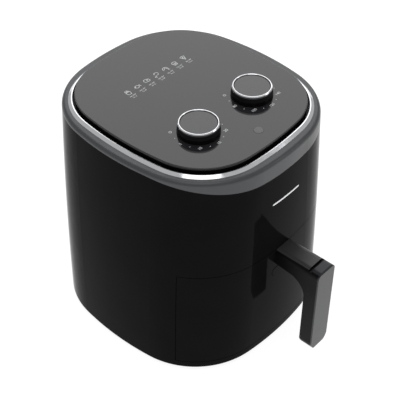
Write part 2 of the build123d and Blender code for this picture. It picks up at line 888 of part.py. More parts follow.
def make_heater_guard():
    """Wire guard under the element: rings and cross wires."""
    with BuildPart() as heater_guard:
        for radius in guard_rings:
            add(ring_arc(radius, guard_wire, guard_z, 0, 360))
        for angle in (0, 90):
            wire_plane = Plane((0, body_y + fan_y, guard_z)).rotated((0, 0, angle))
            with BuildSketch(Plane(wire_plane.origin - wire_plane.x_dir * guard_rings[-1],
                                   z_dir=wire_plane.x_dir)):
                Circle(guard_wire + 0.2)
            extrude(amount=2 * guard_rings[-1])
    return heater_guard.part


def make_fan(low_z, radius, blade_height, blades, hub_height, hole, blade_turn):
    """Bent-blade wheel: back disc, hub and thin upright blades set at an angle."""
    with BuildPart() as fan:
        with BuildSketch(level(low_z, y=fan_y)):
            Circle(radius)
        extrude(amount=1.2)
        with BuildSketch(level(low_z, y=fan_y)):
            Circle(8.0)
        extrude(amount=-hub_height if blade_height < 0 else hub_height)
        with BuildSketch(level(low_z, y=fan_y)):
            for index in range(blades):
                with Locations(Location((0, 0), 360 * index / blades)):
                    with Locations(Location((radius * 0.62, 0), blade_turn)):
                        Rectangle(radius * 0.62, 1.4)
        extrude(amount=blade_height)
        with BuildSketch(level(low_z, y=fan_y)):
            Circle(hole)
        extrude(amount=far, both=True, mode=Mode.SUBTRACT)
    return fan.part


def make_motor_shaft():
    """Rotor and its long shaft, which carries both fans."""
    with BuildPart() as motor_shaft:
        with BuildSketch(level(shaft_low_z, y=fan_y)):
            Circle(shaft_radius)
        extrude(amount=shaft_high_z - shaft_low_z)
        with BuildSketch(level(core_low_z, y=fan_y)):
            Circle(rotor_radius)
        extrude(amount=motor_stack)
    return motor_shaft.part


def make_motor_core():
    """Laminated core: square stack with the rotor's bore and a window for the winding."""
    with BuildPart() as motor_core:
        with BuildSketch(level(core_low_z, y=fan_y)):
            Rectangle(2 * motor_half, 2 * motor_half)
            Circle(rotor_radius + rotor_gap, mode=Mode.SUBTRACT)
            with Locations((0, motor_half - limb_width - window_depth / 2)):
                Rectangle(window_width, window_depth, mode=Mode.SUBTRACT)
            with GridLocations(2 * motor_bolt, 2 * motor_bolt, 2, 2):
                Circle(motor_screw_radius + touch, mode=Mode.SUBTRACT)
        extrude(amount=motor_stack)
        fillet(motor_core.edges().filter_by(Axis.Z).group_by(SortBy.DISTANCE)[-1], 3.0)
    return motor_core.part


def make_motor_coil():
    """Winding round the core's rear limb."""
    limb_y = fan_y + motor_half - limb_width
    with BuildPart() as motor_coil:
        add(
            block(
                (-window_width / 2 + 0.6, limb_y - window_depth + 0.6, core_low_z - coil_over),
                (window_width / 2 - 0.6, limb_y + limb_width + window_depth - 1.0,
                 core_low_z + motor_stack + coil_over),
            )
        )
        fillet(motor_coil.edges().filter_by(Axis.X), 2.0)
        add(
            block(
                (-far, limb_y, core_low_z),
                (far, limb_y + limb_width, core_low_z + motor_stack),
            ),
            mode=Mode.SUBTRACT,
        )
    return motor_coil.part


def make_motor_bracket():
    """Lower motor plate on four legs, with the lower bearing and the core's spacers."""
    with BuildPart() as motor_bracket:
        with BuildSketch(level(motor_low_z, y=fan_y)):
            RectangleRounded(2 * leg_offset + 12, 2 * leg_offset + 12, 6.0)
        extrude(amount=bracket_sheet)
        with BuildSketch(level(liner_high_z, y=fan_y)):
            with GridLocations(2 * leg_offset, 2 * leg_offset, 2, 2):
                Circle(4.0)
        extrude(amount=motor_low_z - liner_high_z)
        with BuildSketch(level(motor_low_z + bracket_sheet, y=fan_y)):
            with GridLocations(2 * motor_bolt, 2 * motor_bolt, 2, 2):
                Circle(4.0)
        extrude(amount=core_low_z - motor_low_z - bracket_sheet)
        with BuildSketch(level(motor_low_z - 2.0, y=fan_y)):
            Circle(bearing_radius)
        extrude(amount=core_low_z - 1.5 - motor_low_z + 2.0)
        with BuildSketch(level(motor_low_z - 4.0, y=fan_y)):
            Circle(shaft_radius + shaft_fit)
            with GridLocations(2 * motor_bolt, 2 * motor_bolt, 2, 2):
                Circle(motor_screw_radius + touch)
        extrude(amount=30.0, mode=Mode.SUBTRACT)
        with BuildSketch(level(motor_low_z, y=fan_y)):
            with PolarLocations(22.0, 4, 0):
                SlotOverall(14.0, 6.0)
        extrude(amount=bracket_sheet, mode=Mode.SUBTRACT)
    return motor_bracket.part


def make_motor_bridge():
    """Upper bearing bridge: cross-shaped plate with the upper bearing."""
    core_top_z = core_low_z + motor_stack
    with BuildPart() as motor_bridge:
        with BuildSketch(level(core_top_z, y=fan_y)):
            with Locations(Location((0, 0), 45), Location((0, 0), 135)):
                Rectangle(2 * motor_bolt * math.sqrt(2) + 9.0, 8.0)
            Circle(bearing_radius + 4.0)
        extrude(amount=bracket_sheet)
        with BuildSketch(level(core_top_z + bracket_sheet, y=fan_y)):
            Circle(bearing_radius)
        extrude(amount=bearing_height)
        with BuildSketch(level(core_top_z, y=fan_y)):
            Circle(shaft_radius + shaft_fit)
            with GridLocations(2 * motor_bolt, 2 * motor_bolt, 2, 2):
                Circle(motor_screw_radius + touch)
        extrude(amount=bearing_height + bracket_sheet, mode=Mode.SUBTRACT)
    return motor_bridge.part


def make_exhaust_duct():
    """Short square duct from the chamber's back to the rear grille."""
    with BuildPart() as exhaust_duct:
        add(
            block(
                (-duct_width / 2, liner_back_y, vent_z - duct_height / 2),
                (duct_width / 2, far, vent_z + duct_height / 2),
            )
        )
        add(
            block(
                (-duct_width / 2 + duct_wall, 0, vent_z - duct_height / 2 + duct_wall),
                (duct_width / 2 - duct_wall, far, vent_z + duct_height / 2 - duct_wall),
            ),
            mode=Mode.SUBTRACT,
        )
        add(body_solid(grille_depth, bezel_low_z), mode=Mode.INTERSECT)
    return exhaust_duct.part


def make_rear_grille():
    """Louvred air outlet that follows the casing's back and fills its window."""
    low_z = vent_z - vent_height / 2 + clearance
    high_z = vent_z + vent_height / 2 - clearance
    with BuildPart() as rear_grille:
        add(body_solid(0.4, bezel_low_z))
        add(body_solid(grille_depth, bezel_low_z), mode=Mode.SUBTRACT)
        add(
            block(
                (-vent_width / 2 + clearance, 0, low_z),
                (vent_width / 2 - clearance, far, high_z),
            ),
            mode=Mode.INTERSECT,
        )
        with BuildSketch(facing_front(far, z=vent_z)):
            with GridLocations(1, louvre_pitch, 1, louvre_count):
                SlotOverall(vent_width - 14.0, louvre_slot)
        extrude(amount=far, mode=Mode.SUBTRACT)
    return rear_grille.part


def make_cord_inlet(shell):
    """Rubber grommet in the casing's back: grooved to the wall, bored for a mains lead."""
    outer_y = rear_reach
    with BuildPart() as cord_inlet:
        with BuildSketch(facing_front(outer_y, z=inlet_z)):
            Circle(inlet_radius + grommet_flange)
        extrude(amount=grommet_length)
        fillet(cord_inlet.edges().group_by(Axis.Y)[-1], 1.0)
        with BuildSketch(facing_front(outer_y, z=inlet_z)):
            Circle(cord_bore)
        extrude(amount=grommet_length, mode=Mode.SUBTRACT)
        add(shell, mode=Mode.SUBTRACT)
    return cord_inlet.part


def make_terminal_block():
    """Mains terminal block on the tray, with its screw wells."""
    with BuildPart() as terminal_block:
        with BuildSketch(level(tray_top_z, terminal_x, terminal_y)):
            Rectangle(34.0, 11.0)
        extrude(amount=13.0)
        with BuildSketch(level(tray_top_z + 13.0, terminal_x, terminal_y)):
            with GridLocations(10.0, 1, 3, 1):
                Circle(2.4)
        extrude(amount=-6.0, mode=Mode.SUBTRACT)
    return terminal_block.part


def make_thermal_fuse():
    """Thermal cut-out in a clip on the chamber's roof."""
    with BuildPart() as thermal_fuse:
        with BuildSketch(level(liner_high_z, -72.0, 40.0)):
            Rectangle(8.0, 20.0)
        extrude(amount=2.0)
        with BuildSketch(facing_front(50.0, -72.0, liner_high_z + 4.4)):
            Circle(3.0)
        extrude(amount=20.0)
    return thermal_fuse.part


def make_microswitch():
    """Drawer safety switch on the curtain, its plunger just over the drawer's top."""
    with BuildPart() as microswitch:
        add(
            block(
                (switch_x - 10.0, liner_front_y - 6.4, switch_z),
                (switch_x + 10.0, liner_front_y, switch_z + 10.4),
            )
        )
        with BuildSketch(level(switch_z, switch_x + 5.0, liner_front_y - 3.2)):
            Circle(1.4)
        extrude(amount=drawer_high_z + 0.8 - switch_z)
        with BuildSketch(facing_front(liner_front_y - 6.4, switch_x, switch_z + 5.0)):
            with GridLocations(12.0, 1, 2, 1):
                Circle(1.5)
        extrude(amount=-6.4, mode=Mode.SUBTRACT)
    return microswitch.part


# ---------------------------------------------------------------- drawer
def pan_sketch(distance, z):
    """The pan's rounded plan, moved inwards by a distance."""
    side = 2 * (pan_half - distance)
    with BuildSketch(level(z, y=pan_y)) as sketch:
        RectangleRounded(side, side, pan_corner - distance)
    return sketch.sketch


def make_pan():
    """Coated steel pan with a soft bottom edge and an outward rim."""
    with BuildPart() as pan:
        add(pan_sketch(0, pan_low_z))
        extrude(amount=pan_high_z - pan_low_z)
        fillet(pan.edges().group_by(Axis.Z)[0], pan_fillet)
        add(pan_sketch(-rim_width, pan_high_z))
        extrude(amount=-rim_thickness)
        with BuildPart(mode=Mode.PRIVATE) as hollow:
            add(pan_sketch(pan_wall, pan_low_z + pan_wall))
            extrude(amount=pan_high_z - pan_low_z)
            fillet(hollow.edges().group_by(Axis.Z)[0], pan_fillet - pan_wall)
        add(hollow.part, mode=Mode.SUBTRACT)
    return pan.part


def make_crisper_plate():
    """Perforated plate with an upturned edge, standing above the pan's floor."""
    with BuildPart() as crisper_plate:
        add(pan_sketch(pan_wall + plate_clearance, plate_z))
        extrude(amount=plate_edge)
        add(pan_sketch(pan_wall + plate_clearance + plate_sheet, plate_z + plate_sheet))
        extrude(amount=plate_edge, mode=Mode.SUBTRACT)
        with BuildSketch(level(plate_z, y=pan_y)):
            Circle(3.6)
            for ring in range(1, plate_rings + 1):
                with PolarLocations(ring * plate_ring_pitch, 6 * ring):
                    Circle(3.6)
        extrude(amount=plate_sheet, mode=Mode.SUBTRACT)
    return crisper_plate.part


def make_plate_bumpers(plate):
    """Four silicone bumpers clipped over the plate's edge, just clear of the pan's wall."""
    outer = pan_half - pan_wall - bumper_gap
    with BuildPart() as plate_bumpers:
        with BuildSketch(level(plate_z - 1.2, y=pan_y)):
            with PolarLocations(outer - bumper_depth / 2, 4):
                RectangleRounded(bumper_depth, 16.0, 1.5)
        extrude(amount=plate_edge + 2.4)
        add(plate, mode=Mode.SUBTRACT)
    return plate_bumpers.part


def make_drawer_front():
    """Glossy front: outer skin that wraps both corners, top and bottom lips, bosses."""
    low_z = drawer_low_z + drawer_gap
    high_z = drawer_high_z - drawer_gap
    back_y = drawer_split_y - drawer_gap
    with BuildPart() as drawer_front:
        add(body_solid(0, bezel_low_z))
        add(block((-far, -far, low_z), (far, back_y, high_z)), mode=Mode.INTERSECT)
        with BuildPart(mode=Mode.PRIVATE) as hollow:
            add(body_solid(drawer_wall, bezel_low_z))
            add(
                block((-far, -far, low_z + drawer_lip), (far, 0, high_z - drawer_lip)),
                mode=Mode.INTERSECT,
            )
        add(hollow.part, mode=Mode.SUBTRACT)
        add(
            block((-wing_x, frame_front_y, 0), (wing_x, 0, bezel_low_z)),
            mode=Mode.SUBTRACT,
        )
        with BuildSketch(facing_front(frame_front_y)):
            with Locations(*frame_bosses):
                Circle(boss_radius)
        extrude(until=Until.NEXT)
        with BuildSketch(facing_front(frame_front_y)):
            with Locations(*frame_bosses):
                Circle(screw_radius)
        extrude(amount=12.0, mode=Mode.SUBTRACT)
        with BuildSketch(facing_front(frame_front_y)):
            with Locations(*handle_screw_points):
                Circle(screw_radius + 0.3)
            with Locations((0, cap_z)):
                SlotOverall(cap_length, cap_height)
        extrude(amount=far, mode=Mode.SUBTRACT)
    return drawer_front.part


def make_drawer_frame():
    """Black frame behind the front: back panel, two runners beside the pan, a rear tie."""
    low_z = pan_low_z + 2.0
    runner_top = pan_high_z - rim_thickness
    with BuildPart() as drawer_frame:
        with BuildSketch(facing_front(frame_back_y)):
            with Locations((0, (low_z + frame_high_z) / 2)):
                RectangleRounded(2 * frame_half, frame_high_z - low_z, 8.0)
        extrude(amount=frame_panel)
        with BuildSketch(facing_front(frame_back_y)):
            with Locations(*frame_bosses):
                Circle(screw_radius + 0.3)
            with Locations(*handle_screw_points):
                Circle(4.6)
        extrude(amount=frame_panel, mode=Mode.SUBTRACT)
        with BuildSketch(facing_front(frame_back_y)):
            for side in side_signs:
                with Locations((side * (runner_in + runner_out) / 2, runner_top - runner_height / 2)):
                    Rectangle(runner_out - runner_in, runner_height)
        extrude(amount=-runner_length)
    return drawer_frame.part


def make_handle_screw_cap():
    """Oval cover pressed into the drawer front under the arm."""
    with BuildPart() as handle_screw_cap:
        add(body_solid(-0.3, bezel_low_z))
        add(body_solid(drawer_wall - 0.4, bezel_low_z), mode=Mode.SUBTRACT)
        with BuildSketch(facing_front(0)):
            with Locations((0, cap_z)):
                SlotOverall(cap_length - 2 * cap_groove, cap_height - 2 * cap_groove)
        extrude(amount=far, mode=Mode.INTERSECT)
    return handle_screw_cap.part


# ---------------------------------------------------------------- handle
def handle_form():
    """The whole handle: arm, curved palm side and grip, with rounded edges."""
    root_y = -waist_outline[1] + 12.0
    grip_back_y = grip_front_y + grip_depth
    arm_low_z = arm_top_z - arm_depth
    with BuildPart() as form:
        with BuildSketch(facing_side(0)) as side_view:
            with BuildLine():
                Polyline(
                    (root_y, arm_top_z),
                    (grip_front_y, arm_top_z),
                    (grip_front_y + grip_lean, grip_low_z),
                    (grip_back_y + grip_lean, grip_low_z),
                    (grip_back_y, arm_low_z - arm_drop),
                    (root_y, arm_low_z),
                    close=True,
                )
            make_face()
            fillet(side_view.vertices().sort_by_distance((grip_back_y, arm_low_z))[0], palm_radius)
            fillet(side_view.vertices().sort_by_distance((grip_back_y, grip_low_z))[0], grip_heel_radius)
            fillet(side_view.vertices().sort_by_distance((grip_front_y, grip_low_z))[0], grip_toe_radius)
            chamfer(side_view.vertices().sort_by_distance((grip_front_y, arm_top_z))[0], plate_chamfer)
        extrude(amount=arm_width / 2, both=True)
        with BuildSketch(facing_front(grip_front_y - 1.0)) as front_view:
            with BuildLine():
                Polyline(
                    (-arm_width / 2, grip_low_z),
                    (arm_width / 2, grip_low_z),
                    (arm_width / 2, arm_top_z),
                    (-arm_width / 2, arm_top_z),
                    close=True,
                )
            make_face()
            fillet(front_view.vertices().group_by(Axis.Y)[0], grip_end_radius)
            fillet(front_view.vertices().group_by(Axis.Y)[-1], arm_edge_radius)
        extrude(amount=-far, mode=Mode.INTERSECT)
    return form.part


def faceplate_zone():
    """Where the faceplate lies: the grip's front skin and its short return on top."""
    skin_y = grip_front_y + plate_skin
    with BuildPart() as zone:
        with BuildSketch(facing_side(0)):
            with BuildLine():
                Polyline(
                    (-far - far, arm_top_z + 1.0),
                    (grip_front_y + top_return, arm_top_z + 1.0),
                    (grip_front_y + top_return, arm_top_z - cover_skin),
                    (skin_y, arm_top_z - cover_skin),
                    (skin_y + grip_lean, grip_low_z - 1.0),
                    (-far - far, grip_low_z - 1.0),
                    close=True,
                )
            make_face()
        extrude(amount=arm_width, both=True)
    return zone.part


def cover_zone():
    """Where the arm's top cover lies: the arm's top skin up to the slot before the grip."""
    return block(
        (-arm_width, grip_front_y + top_return + slot_width, arm_top_z - cover_skin),
        (arm_width, 0, arm_top_z + 1.0),
    )


def make_handle_body(form):
    """Black core of the handle, recessed for the cover and the faceplate."""
    with BuildPart() as handle_body:
        add(form)
        add(faceplate_zone(), mode=Mode.SUBTRACT)
        add(cover_zone(), mode=Mode.SUBTRACT)
        add(
            block(
                (-arm_width, grip_front_y + top_return, arm_top_z - slot_depth),
                (arm_width, grip_front_y + top_return + slot_width, arm_top_z + 1.0),
            ),
            mode=Mode.SUBTRACT,
        )
        add(body_solid(0, bezel_low_z), mode=Mode.SUBTRACT)
        with BuildSketch(facing_front(0)):
            with Locations(*handle_screw_points):
                Circle(screw_radius)
        extrude(amount=wall_y(waist_outline, 0) + 16.0, mode=Mode.SUBTRACT)
    return handle_body.part


def make_handle_top_cover(form):
    """Dark satin cover on top of the arm."""
    with BuildPart() as handle_top_cover:
        add(form)
        add(cover_zone(), mode=Mode.INTERSECT)
        add(body_solid(0, bezel_low_z), mode=Mode.SUBTRACT)
    return handle_top_cover.part


def make_handle_faceplate(form):
    """Metallic plate over the grip's front and the first stretch of its top."""
    with BuildPart() as handle_faceplate:
        add(form)
        add(faceplate_zone(), mode=Mode.INTERSECT)
    return handle_faceplate.part


# ---------------------------------------------------------------- build and write
knob_centres = [(-knob_x, knob_y), (knob_x, knob_y)]
link_angle = math.radians(90 + coil_gap)
terminal_angle = math.radians(90 - coil_gap)
link_points = [
    (radius * math.cos(link_angle), fan_y + radius * math.sin(link_angle))
    for radius in (coil_inner, coil_outer)
]
terminal_points = [
    (radius * math.cos(terminal_angle), fan_y + radius * math.sin(terminal_angle))
    for radius in (coil_inner, coil_outer)
]
link_plane = Plane(
    (link_points[0][0], body_y + link_points[0][1], coil_z),
    z_dir=(math.cos(link_angle), math.sin(link_angle), 0),
)

os.makedirs("parts", exist_ok=True)

outer_shell = make_outer_shell()
save(outer_shell, "outer_shell")
save(make_base_tray(), "base_tray")
save(make_feet(), "feet")
save(make_top_bezel(), "top_bezel")
save(make_chrome_ring(), "chrome_ring")
save(make_panel_plinth(), "panel_plinth")
save(make_control_panel(), "control_panel")
save(make_indicator_lens(), "indicator_lens")
save(make_indicator_lamp(), "indicator_lamp")

for label, x in (("timer", -knob_x), ("temperature", knob_x)):
    save(make_knob_body(x), f"{label}_knob_body")
    save(make_knob_ring(x), f"{label}_knob_ring")
    save(make_knob_cap(x), f"{label}_knob_cap")
save(make_shaft(-knob_x, deck_under_z - timer_height + 7.0), "timer_shaft")
save(make_shaft(knob_x, deck_under_z - thermostat_height + 7.0), "thermostat_shaft")
save(make_control_case(-knob_x, 46.0, 40.0, timer_height), "timer_case")
save(make_control_case(knob_x, 42.0, 30.0, thermostat_height), "thermostat_case")
save(make_timer_bell(), "timer_bell")
save(make_thermostat_bulb(), "thermostat_bulb")

save(make_inner_liner(), "inner_liner")
save(make_drawer_rails(), "drawer_rails")
save(make_heat_reflector(), "heat_reflector")
heating_element = make_heating_element()
save(heating_element, "heating_element")
save(make_heater_brackets(heating_element), "heater_brackets")
save(make_heater_guard(), "heater_guard")
save(make_motor_shaft(), "motor_shaft")
save(
    make_fan(chamber_fan_z, chamber_fan_radius, -10.0, 8, 9.0, shaft_radius, 25.0),
    "circulation_fan",
)
save(
    make_fan(cooling_fan_z, cooling_fan_radius, 8.0, 9, 9.0, shaft_radius, -25.0),
    "cooling_fan",
)
save(make_motor_core(), "motor_core")
save(make_motor_coil(), "motor_coil")
save(make_motor_bracket(), "motor_bracket")
save(make_motor_bridge(), "motor_bridge")
save(make_exhaust_duct(), "exhaust_duct")
save(make_rear_grille(), "rear_grille")
save(make_cord_inlet(outer_shell), "cord_inlet")
save(make_terminal_block(), "terminal_block")
save(make_thermal_fuse(), "thermal_fuse")
save(make_microswitch(), "microswitch")

save(make_pan(), "pan")
crisper_plate = make_crisper_plate()
save(crisper_plate, "crisper_plate")
save(make_plate_bumpers(crisper_plate), "plate_bumpers")
save(make_drawer_front(), "drawer_front")
save(make_drawer_frame(), "drawer_frame")
save(make_handle_screw_cap(), "handle_screw_cap")
handle = handle_form()
save(make_handle_body(handle), "handle_body")
save(make_handle_top_cover(handle), "handle_top_cover")
save(make_handle_faceplate(handle), "handle_faceplate")

corner_signs = [(s, t) for s in side_signs for t in side_signs]
save(
    make_screws(
        [(s * low_boss_x, t * boss_y) for s, t in corner_signs],
        screw_radius, 16.0, 3.2, 1.6, level(tray_low_z).rotated((180, 0, 0)),
    ),
    "base_screws",
)
save(
    make_screws(
        [(s * high_boss_x, t * boss_y) for s, t in corner_signs],
        screw_radius, 14.0, 2.4, 1.8, level(plinth_deck_z),
    ),
    "plinth_screws",
)
save(
    make_screws(
        [(x + s * control_screw_pitch / 2, y) for x, y in knob_centres for s in side_signs],
        screw_radius, 9.0, 3.0, 1.8, level(plinth_deck_z),
    ),
    "control_screws",
)
save(
    make_screws(
        [(s * motor_bolt, t * motor_bolt) for s, t in corner_signs],
        motor_screw_radius, motor_stack + core_low_z - motor_low_z + 4.0, 3.4, 2.2,
        level(core_low_z + motor_stack + bracket_sheet, y=fan_y),
    ),
    "motor_screws",
)
save(
    make_screws(frame_bosses, screw_radius, 12.0, 3.2, 1.8, facing_back(frame_back_y)),
    "frame_screws",
)
handle_seat_y = -wall_y(inset(waist_outline, drawer_wall), handle_screw_x)
save(
    make_screws(
        handle_screw_points, screw_radius, 14.0, 3.6, 2.2, facing_back(handle_seat_y + 1.0),
    ),
    "handle_screws",
)
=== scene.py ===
import math

import bpy
import numpy as np
from mathutils import Euler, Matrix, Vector


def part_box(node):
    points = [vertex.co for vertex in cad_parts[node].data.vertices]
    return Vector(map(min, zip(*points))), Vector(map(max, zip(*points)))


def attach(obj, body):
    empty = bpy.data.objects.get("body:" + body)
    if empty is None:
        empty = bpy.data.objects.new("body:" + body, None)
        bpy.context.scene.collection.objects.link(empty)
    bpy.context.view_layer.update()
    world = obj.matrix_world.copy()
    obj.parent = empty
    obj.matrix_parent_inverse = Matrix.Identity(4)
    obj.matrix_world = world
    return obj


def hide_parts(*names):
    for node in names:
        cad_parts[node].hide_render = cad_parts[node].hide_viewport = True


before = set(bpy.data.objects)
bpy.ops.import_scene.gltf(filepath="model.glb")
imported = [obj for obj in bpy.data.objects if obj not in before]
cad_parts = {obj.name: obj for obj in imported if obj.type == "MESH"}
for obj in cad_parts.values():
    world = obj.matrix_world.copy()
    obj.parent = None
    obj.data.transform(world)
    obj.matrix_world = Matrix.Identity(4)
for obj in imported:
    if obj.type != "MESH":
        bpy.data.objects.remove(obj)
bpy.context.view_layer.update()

bl_info = {
    "name": "Drawer Air Fryer",
    "version": (1, 0, 0),
    "blender": (4, 5, 0),
    "location": "View3D > Sidebar > Air Fryer",
    "description": "Finishes, printing, wound parts and studio stage of a drawer air fryer",
    "category": "Object",
}

MM = 0.001

PANEL_LOW, PANEL_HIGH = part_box("control_panel")
PANEL_TOP = PANEL_HIGH.z
FLOOR_HALF = 7.0  # metres from the middle of the floor to its edges
WORLD_LIGHT = 0.5  # strength of the even light from all round
BODY_Y = (PANEL_LOW.y + PANEL_HIGH.y) / 2     # the body's own centre line


def linear(hex_code):
    """Linear red, green and blue of an sRGB hex colour such as "#5A5A5C"."""
    channels = np.array([int(hex_code[i:i + 2], 16) for i in (1, 3, 5)]) / 255.0
    curve = np.where(channels <= 0.04045, channels / 12.92, ((channels + 0.055) / 1.055) ** 2.4)
    return tuple(curve.tolist())


def colour(name, description, hex_code):
    """A colour property whose default is an sRGB hex value."""
    return bpy.props.FloatVectorProperty(
        name=name, description=description, subtype="COLOR", size=3, min=0.0, max=1.0,
        default=linear(hex_code))


def length(name, description, millimetres):
    """A length property in metres whose default is given in millimetres."""
    return bpy.props.FloatProperty(
        name=name, description=description, unit="LENGTH", min=0.0, precision=5,
        default=millimetres * MM)


class AirFryerFinishes(bpy.types.PropertyGroup):
    """Colours of the visible finishes."""

    body_black: colour("Body black", "Polished ABS of the casing and the drawer front", "#131314")
    bezel_grey: colour("Bezel grey", "Satin gunmetal paint of the bezel", "#47484A")
    panel_grey: colour("Panel grey", "Grey under the panel's clear coat", "#252527")
    cap_grey: colour("Cap grey", "Satin paint of the two knob caps", "#4A4A4C")
    chrome: colour("Chrome", "Bright chromium of the ring and the knob trims", "#E4E5E8")
    moulded_black: colour("Moulded black", "Black ABS of the knobs, the deck and the handle", "#0A0A0B")
    cover_grey: colour("Cover grey", "Dark satin cover on the arm", "#2E2E30")
    plate_grey: colour("Faceplate grey", "Metallic paint of the handle's faceplate", "#2B2C2E")
    ink: colour("Ink", "Pale ink of the printed scales", "#E6E8EA")


class AirFryerSizes(bpy.types.PropertyGroup):
    """Sizes of the pieces made here."""

    scale_radius: length("Scale radius", "Radius of the ring of numbers round a knob", 29.6)
    numeral_size: length("Numeral size", "Height of the type on the dials", 5.2)
    dot_radius: length("Dot radius", "Radius of the dots between the numbers", 0.55)
    ink_height: length("Ink height", "Thickness of the printed ink", 0.05)
    menu_pitch: length("Menu pitch", "Distance between two pictograms", 15.5)
    menu_y: length("Menu place", "Pictogram row behind the panel's middle", 52.5)
    pictogram: length("Pictogram size", "Half height of a pictogram", 4.3)
    stroke: length("Stroke", "Width of a pictogram's line", 0.6)
    caption_size: length("Caption size", "Height of the type under a pictogram", 2.7)
    badge_length: length("Badge length", "Length of the plain bar on the front", 46.0)
    badge_height: length("Badge height", "Height of the plain bar on the front", 2.4)
    badge_z: length("Badge place", "Height of the plain bar above the floor", 231.0)
    wire_radius: length("Wire radius", "Radius of the motor's winding wire", 0.42)


class AirFryerStage(bpy.types.PropertyGroup):
    """Camera, floor and lights."""

    azimuth: bpy.props.FloatProperty(
        name="Azimuth", description="Camera's turn round the object, from the front", subtype="ANGLE",
        default=math.radians(-48.044))
    elevation: bpy.props.FloatProperty(
        name="Elevation", description="Camera's angle above the horizon", subtype="ANGLE",
        default=math.radians(42.255))
    distance: length("Distance", "From the camera to the point it looks at", 1286.5)
    target_y: bpy.props.FloatProperty(
        name="Target Y", description="Point looked at, before the body's centre line", unit="LENGTH",
        default=-14.4 * MM)
    target_z: length("Target height", "Height of the point looked at", 145.7)
    focal_length: bpy.props.FloatProperty(
        name="Focal length", description="Lens for a 36 mm sensor", subtype="DISTANCE_CAMERA",
        default=94.25)
    floor_glow: bpy.props.FloatProperty(
        name="Floor glow", description="Light that the pale floor adds of its own", min=0.0,
        default=0.9)


# ---------------------------------------------------------------- nodes and meshes
def add_node(tree, kind, inputs=None, **settings):
    """Add a node with its settings; inputs holds values, or sockets that are linked."""
    node = tree.nodes.new(kind)
    for name, value in settings.items():
        setattr(node, name, value)
    for key, value in (inputs or {}).items():
        if isinstance(value, bpy.types.NodeSocket):
            tree.links.new(value, node.inputs[key])
        else:
            node.inputs[key].default_value = value
    return node


def start_material(name):
    """An empty material, its node tree and the object coordinates socket."""
    material = bpy.data.materials.new(name)
    material.use_nodes = True
    tree = material.node_tree
    tree.nodes.clear()
    place = add_node(tree, "ShaderNodeTexCoord").outputs["Object"]
    return material, tree, place


def per_metre(millimetres):
    """Texture scale at which one feature of the pattern measures that many millimetres."""
    return 1000.0 / millimetres


def finish_material(tree, shader):
    """Connect the shader to the surface."""
    add_node(tree, "ShaderNodeOutputMaterial", {"Surface": shader.outputs[0]})


def spread(tree, factor, low, high):
    """Map a texture's 0.3 to 0.7 onto a range of values."""
    return add_node(
        tree, "ShaderNodeMapRange",
        {"Value": factor, "From Min": 0.3, "From Max": 0.7, "To Min": low, "To Max": high},
    ).outputs["Result"]


def tint(tree, factor, colour_value, darker, lighter):
    """The colour times a factor that a texture moves between darker and lighter."""
    base = (*colour_value, 1.0)
    return add_node(
        tree, "ShaderNodeMix",
        {"Factor": factor,
         "A": tuple(min(1.0, c * darker) for c in base[:3]) + (1.0,),
         "B": tuple(min(1.0, c * lighter) for c in base[:3]) + (1.0,)},
        data_type="RGBA",
    ).outputs["Result"]


def mesh_piece(name, vertices, faces, material, body="root", smooth=True):
    """A finished object from whole arrays of vertices and faces, riding on a body."""
    mesh = bpy.data.meshes.new(name)
    mesh.from_pydata(vertices, [], faces)
    mesh.polygons.foreach_set("use_smooth", np.full(len(mesh.polygons), smooth))
    mesh.materials.append(material)
    mesh.update()
    piece = bpy.data.objects.new(name, mesh)
    bpy.context.scene.collection.objects.link(piece)
    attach(piece, body)
    return piece


def grid_faces(rows, columns, close_rows=False, close_columns=False):
    """Quads of a grid of points numbered row by row, joined at its ends where asked."""
    row = np.arange(rows if close_rows else rows - 1)[:, None]
    column = np.arange(columns if close_columns else columns - 1)[None, :]
    next_row = (row + 1) % rows
    next_column = (column + 1) % columns
    quads = np.stack([
        row * columns + column, row * columns + next_column,
        next_row * columns + next_column, next_row * columns + column], axis=-1)
    return quads.reshape(-1, 4)


def join_parts(parts):
    """Several (vertices, faces) pairs as one; faces may differ in their number of corners."""
    vertices, faces, start = [], [], 0
    for points, polygons in parts:
        vertices.append(points)
        faces.extend([tuple(int(i) + start for i in polygon) for polygon in polygons])
        start += len(points)
    return np.concatenate(vertices), faces


def ribbon(path, width, thickness, closed=False):
    """A line of even width as a closed prism: each point of the path is moved half the
    width along its normal to both sides, and the strip is given a thickness upwards."""
    path = np.asarray(path, float)
    if closed:
        tangent = np.roll(path, -1, 0) - np.roll(path, 1, 0)
    else:
        tangent = np.gradient(path, axis=0)
    tangent /= np.linalg.norm(tangent, axis=1)[:, None]
    normal = np.stack([-tangent[:, 1], tangent[:, 0]], 1) * width / 2
    low = np.zeros((len(path), 1))
    high = low + thickness
    ring = np.stack([
        np.hstack([path + normal, high]), np.hstack([path - normal, high]),
        np.hstack([path - normal, low]), np.hstack([path + normal, low])], axis=1)
    faces = [tuple(f) for f in grid_faces(len(path), 4, closed, True)[:, ::-1]]
    if not closed:
        last = 4 * (len(path) - 1)
        faces.append((0, 1, 2, 3))
        faces.append((last + 3, last + 2, last + 1, last))
    return ring.reshape(-1, 3), faces


def arc(centre, radius, start, end, count=24, squash=1.0):
    """Points on an arc between two angles in degrees, flattened upright by squash."""
    angle = np.radians(np.linspace(start, end, count))
    return np.stack([
        centre[0] + radius * np.cos(angle), centre[1] + radius * squash * np.sin(angle)], 1)


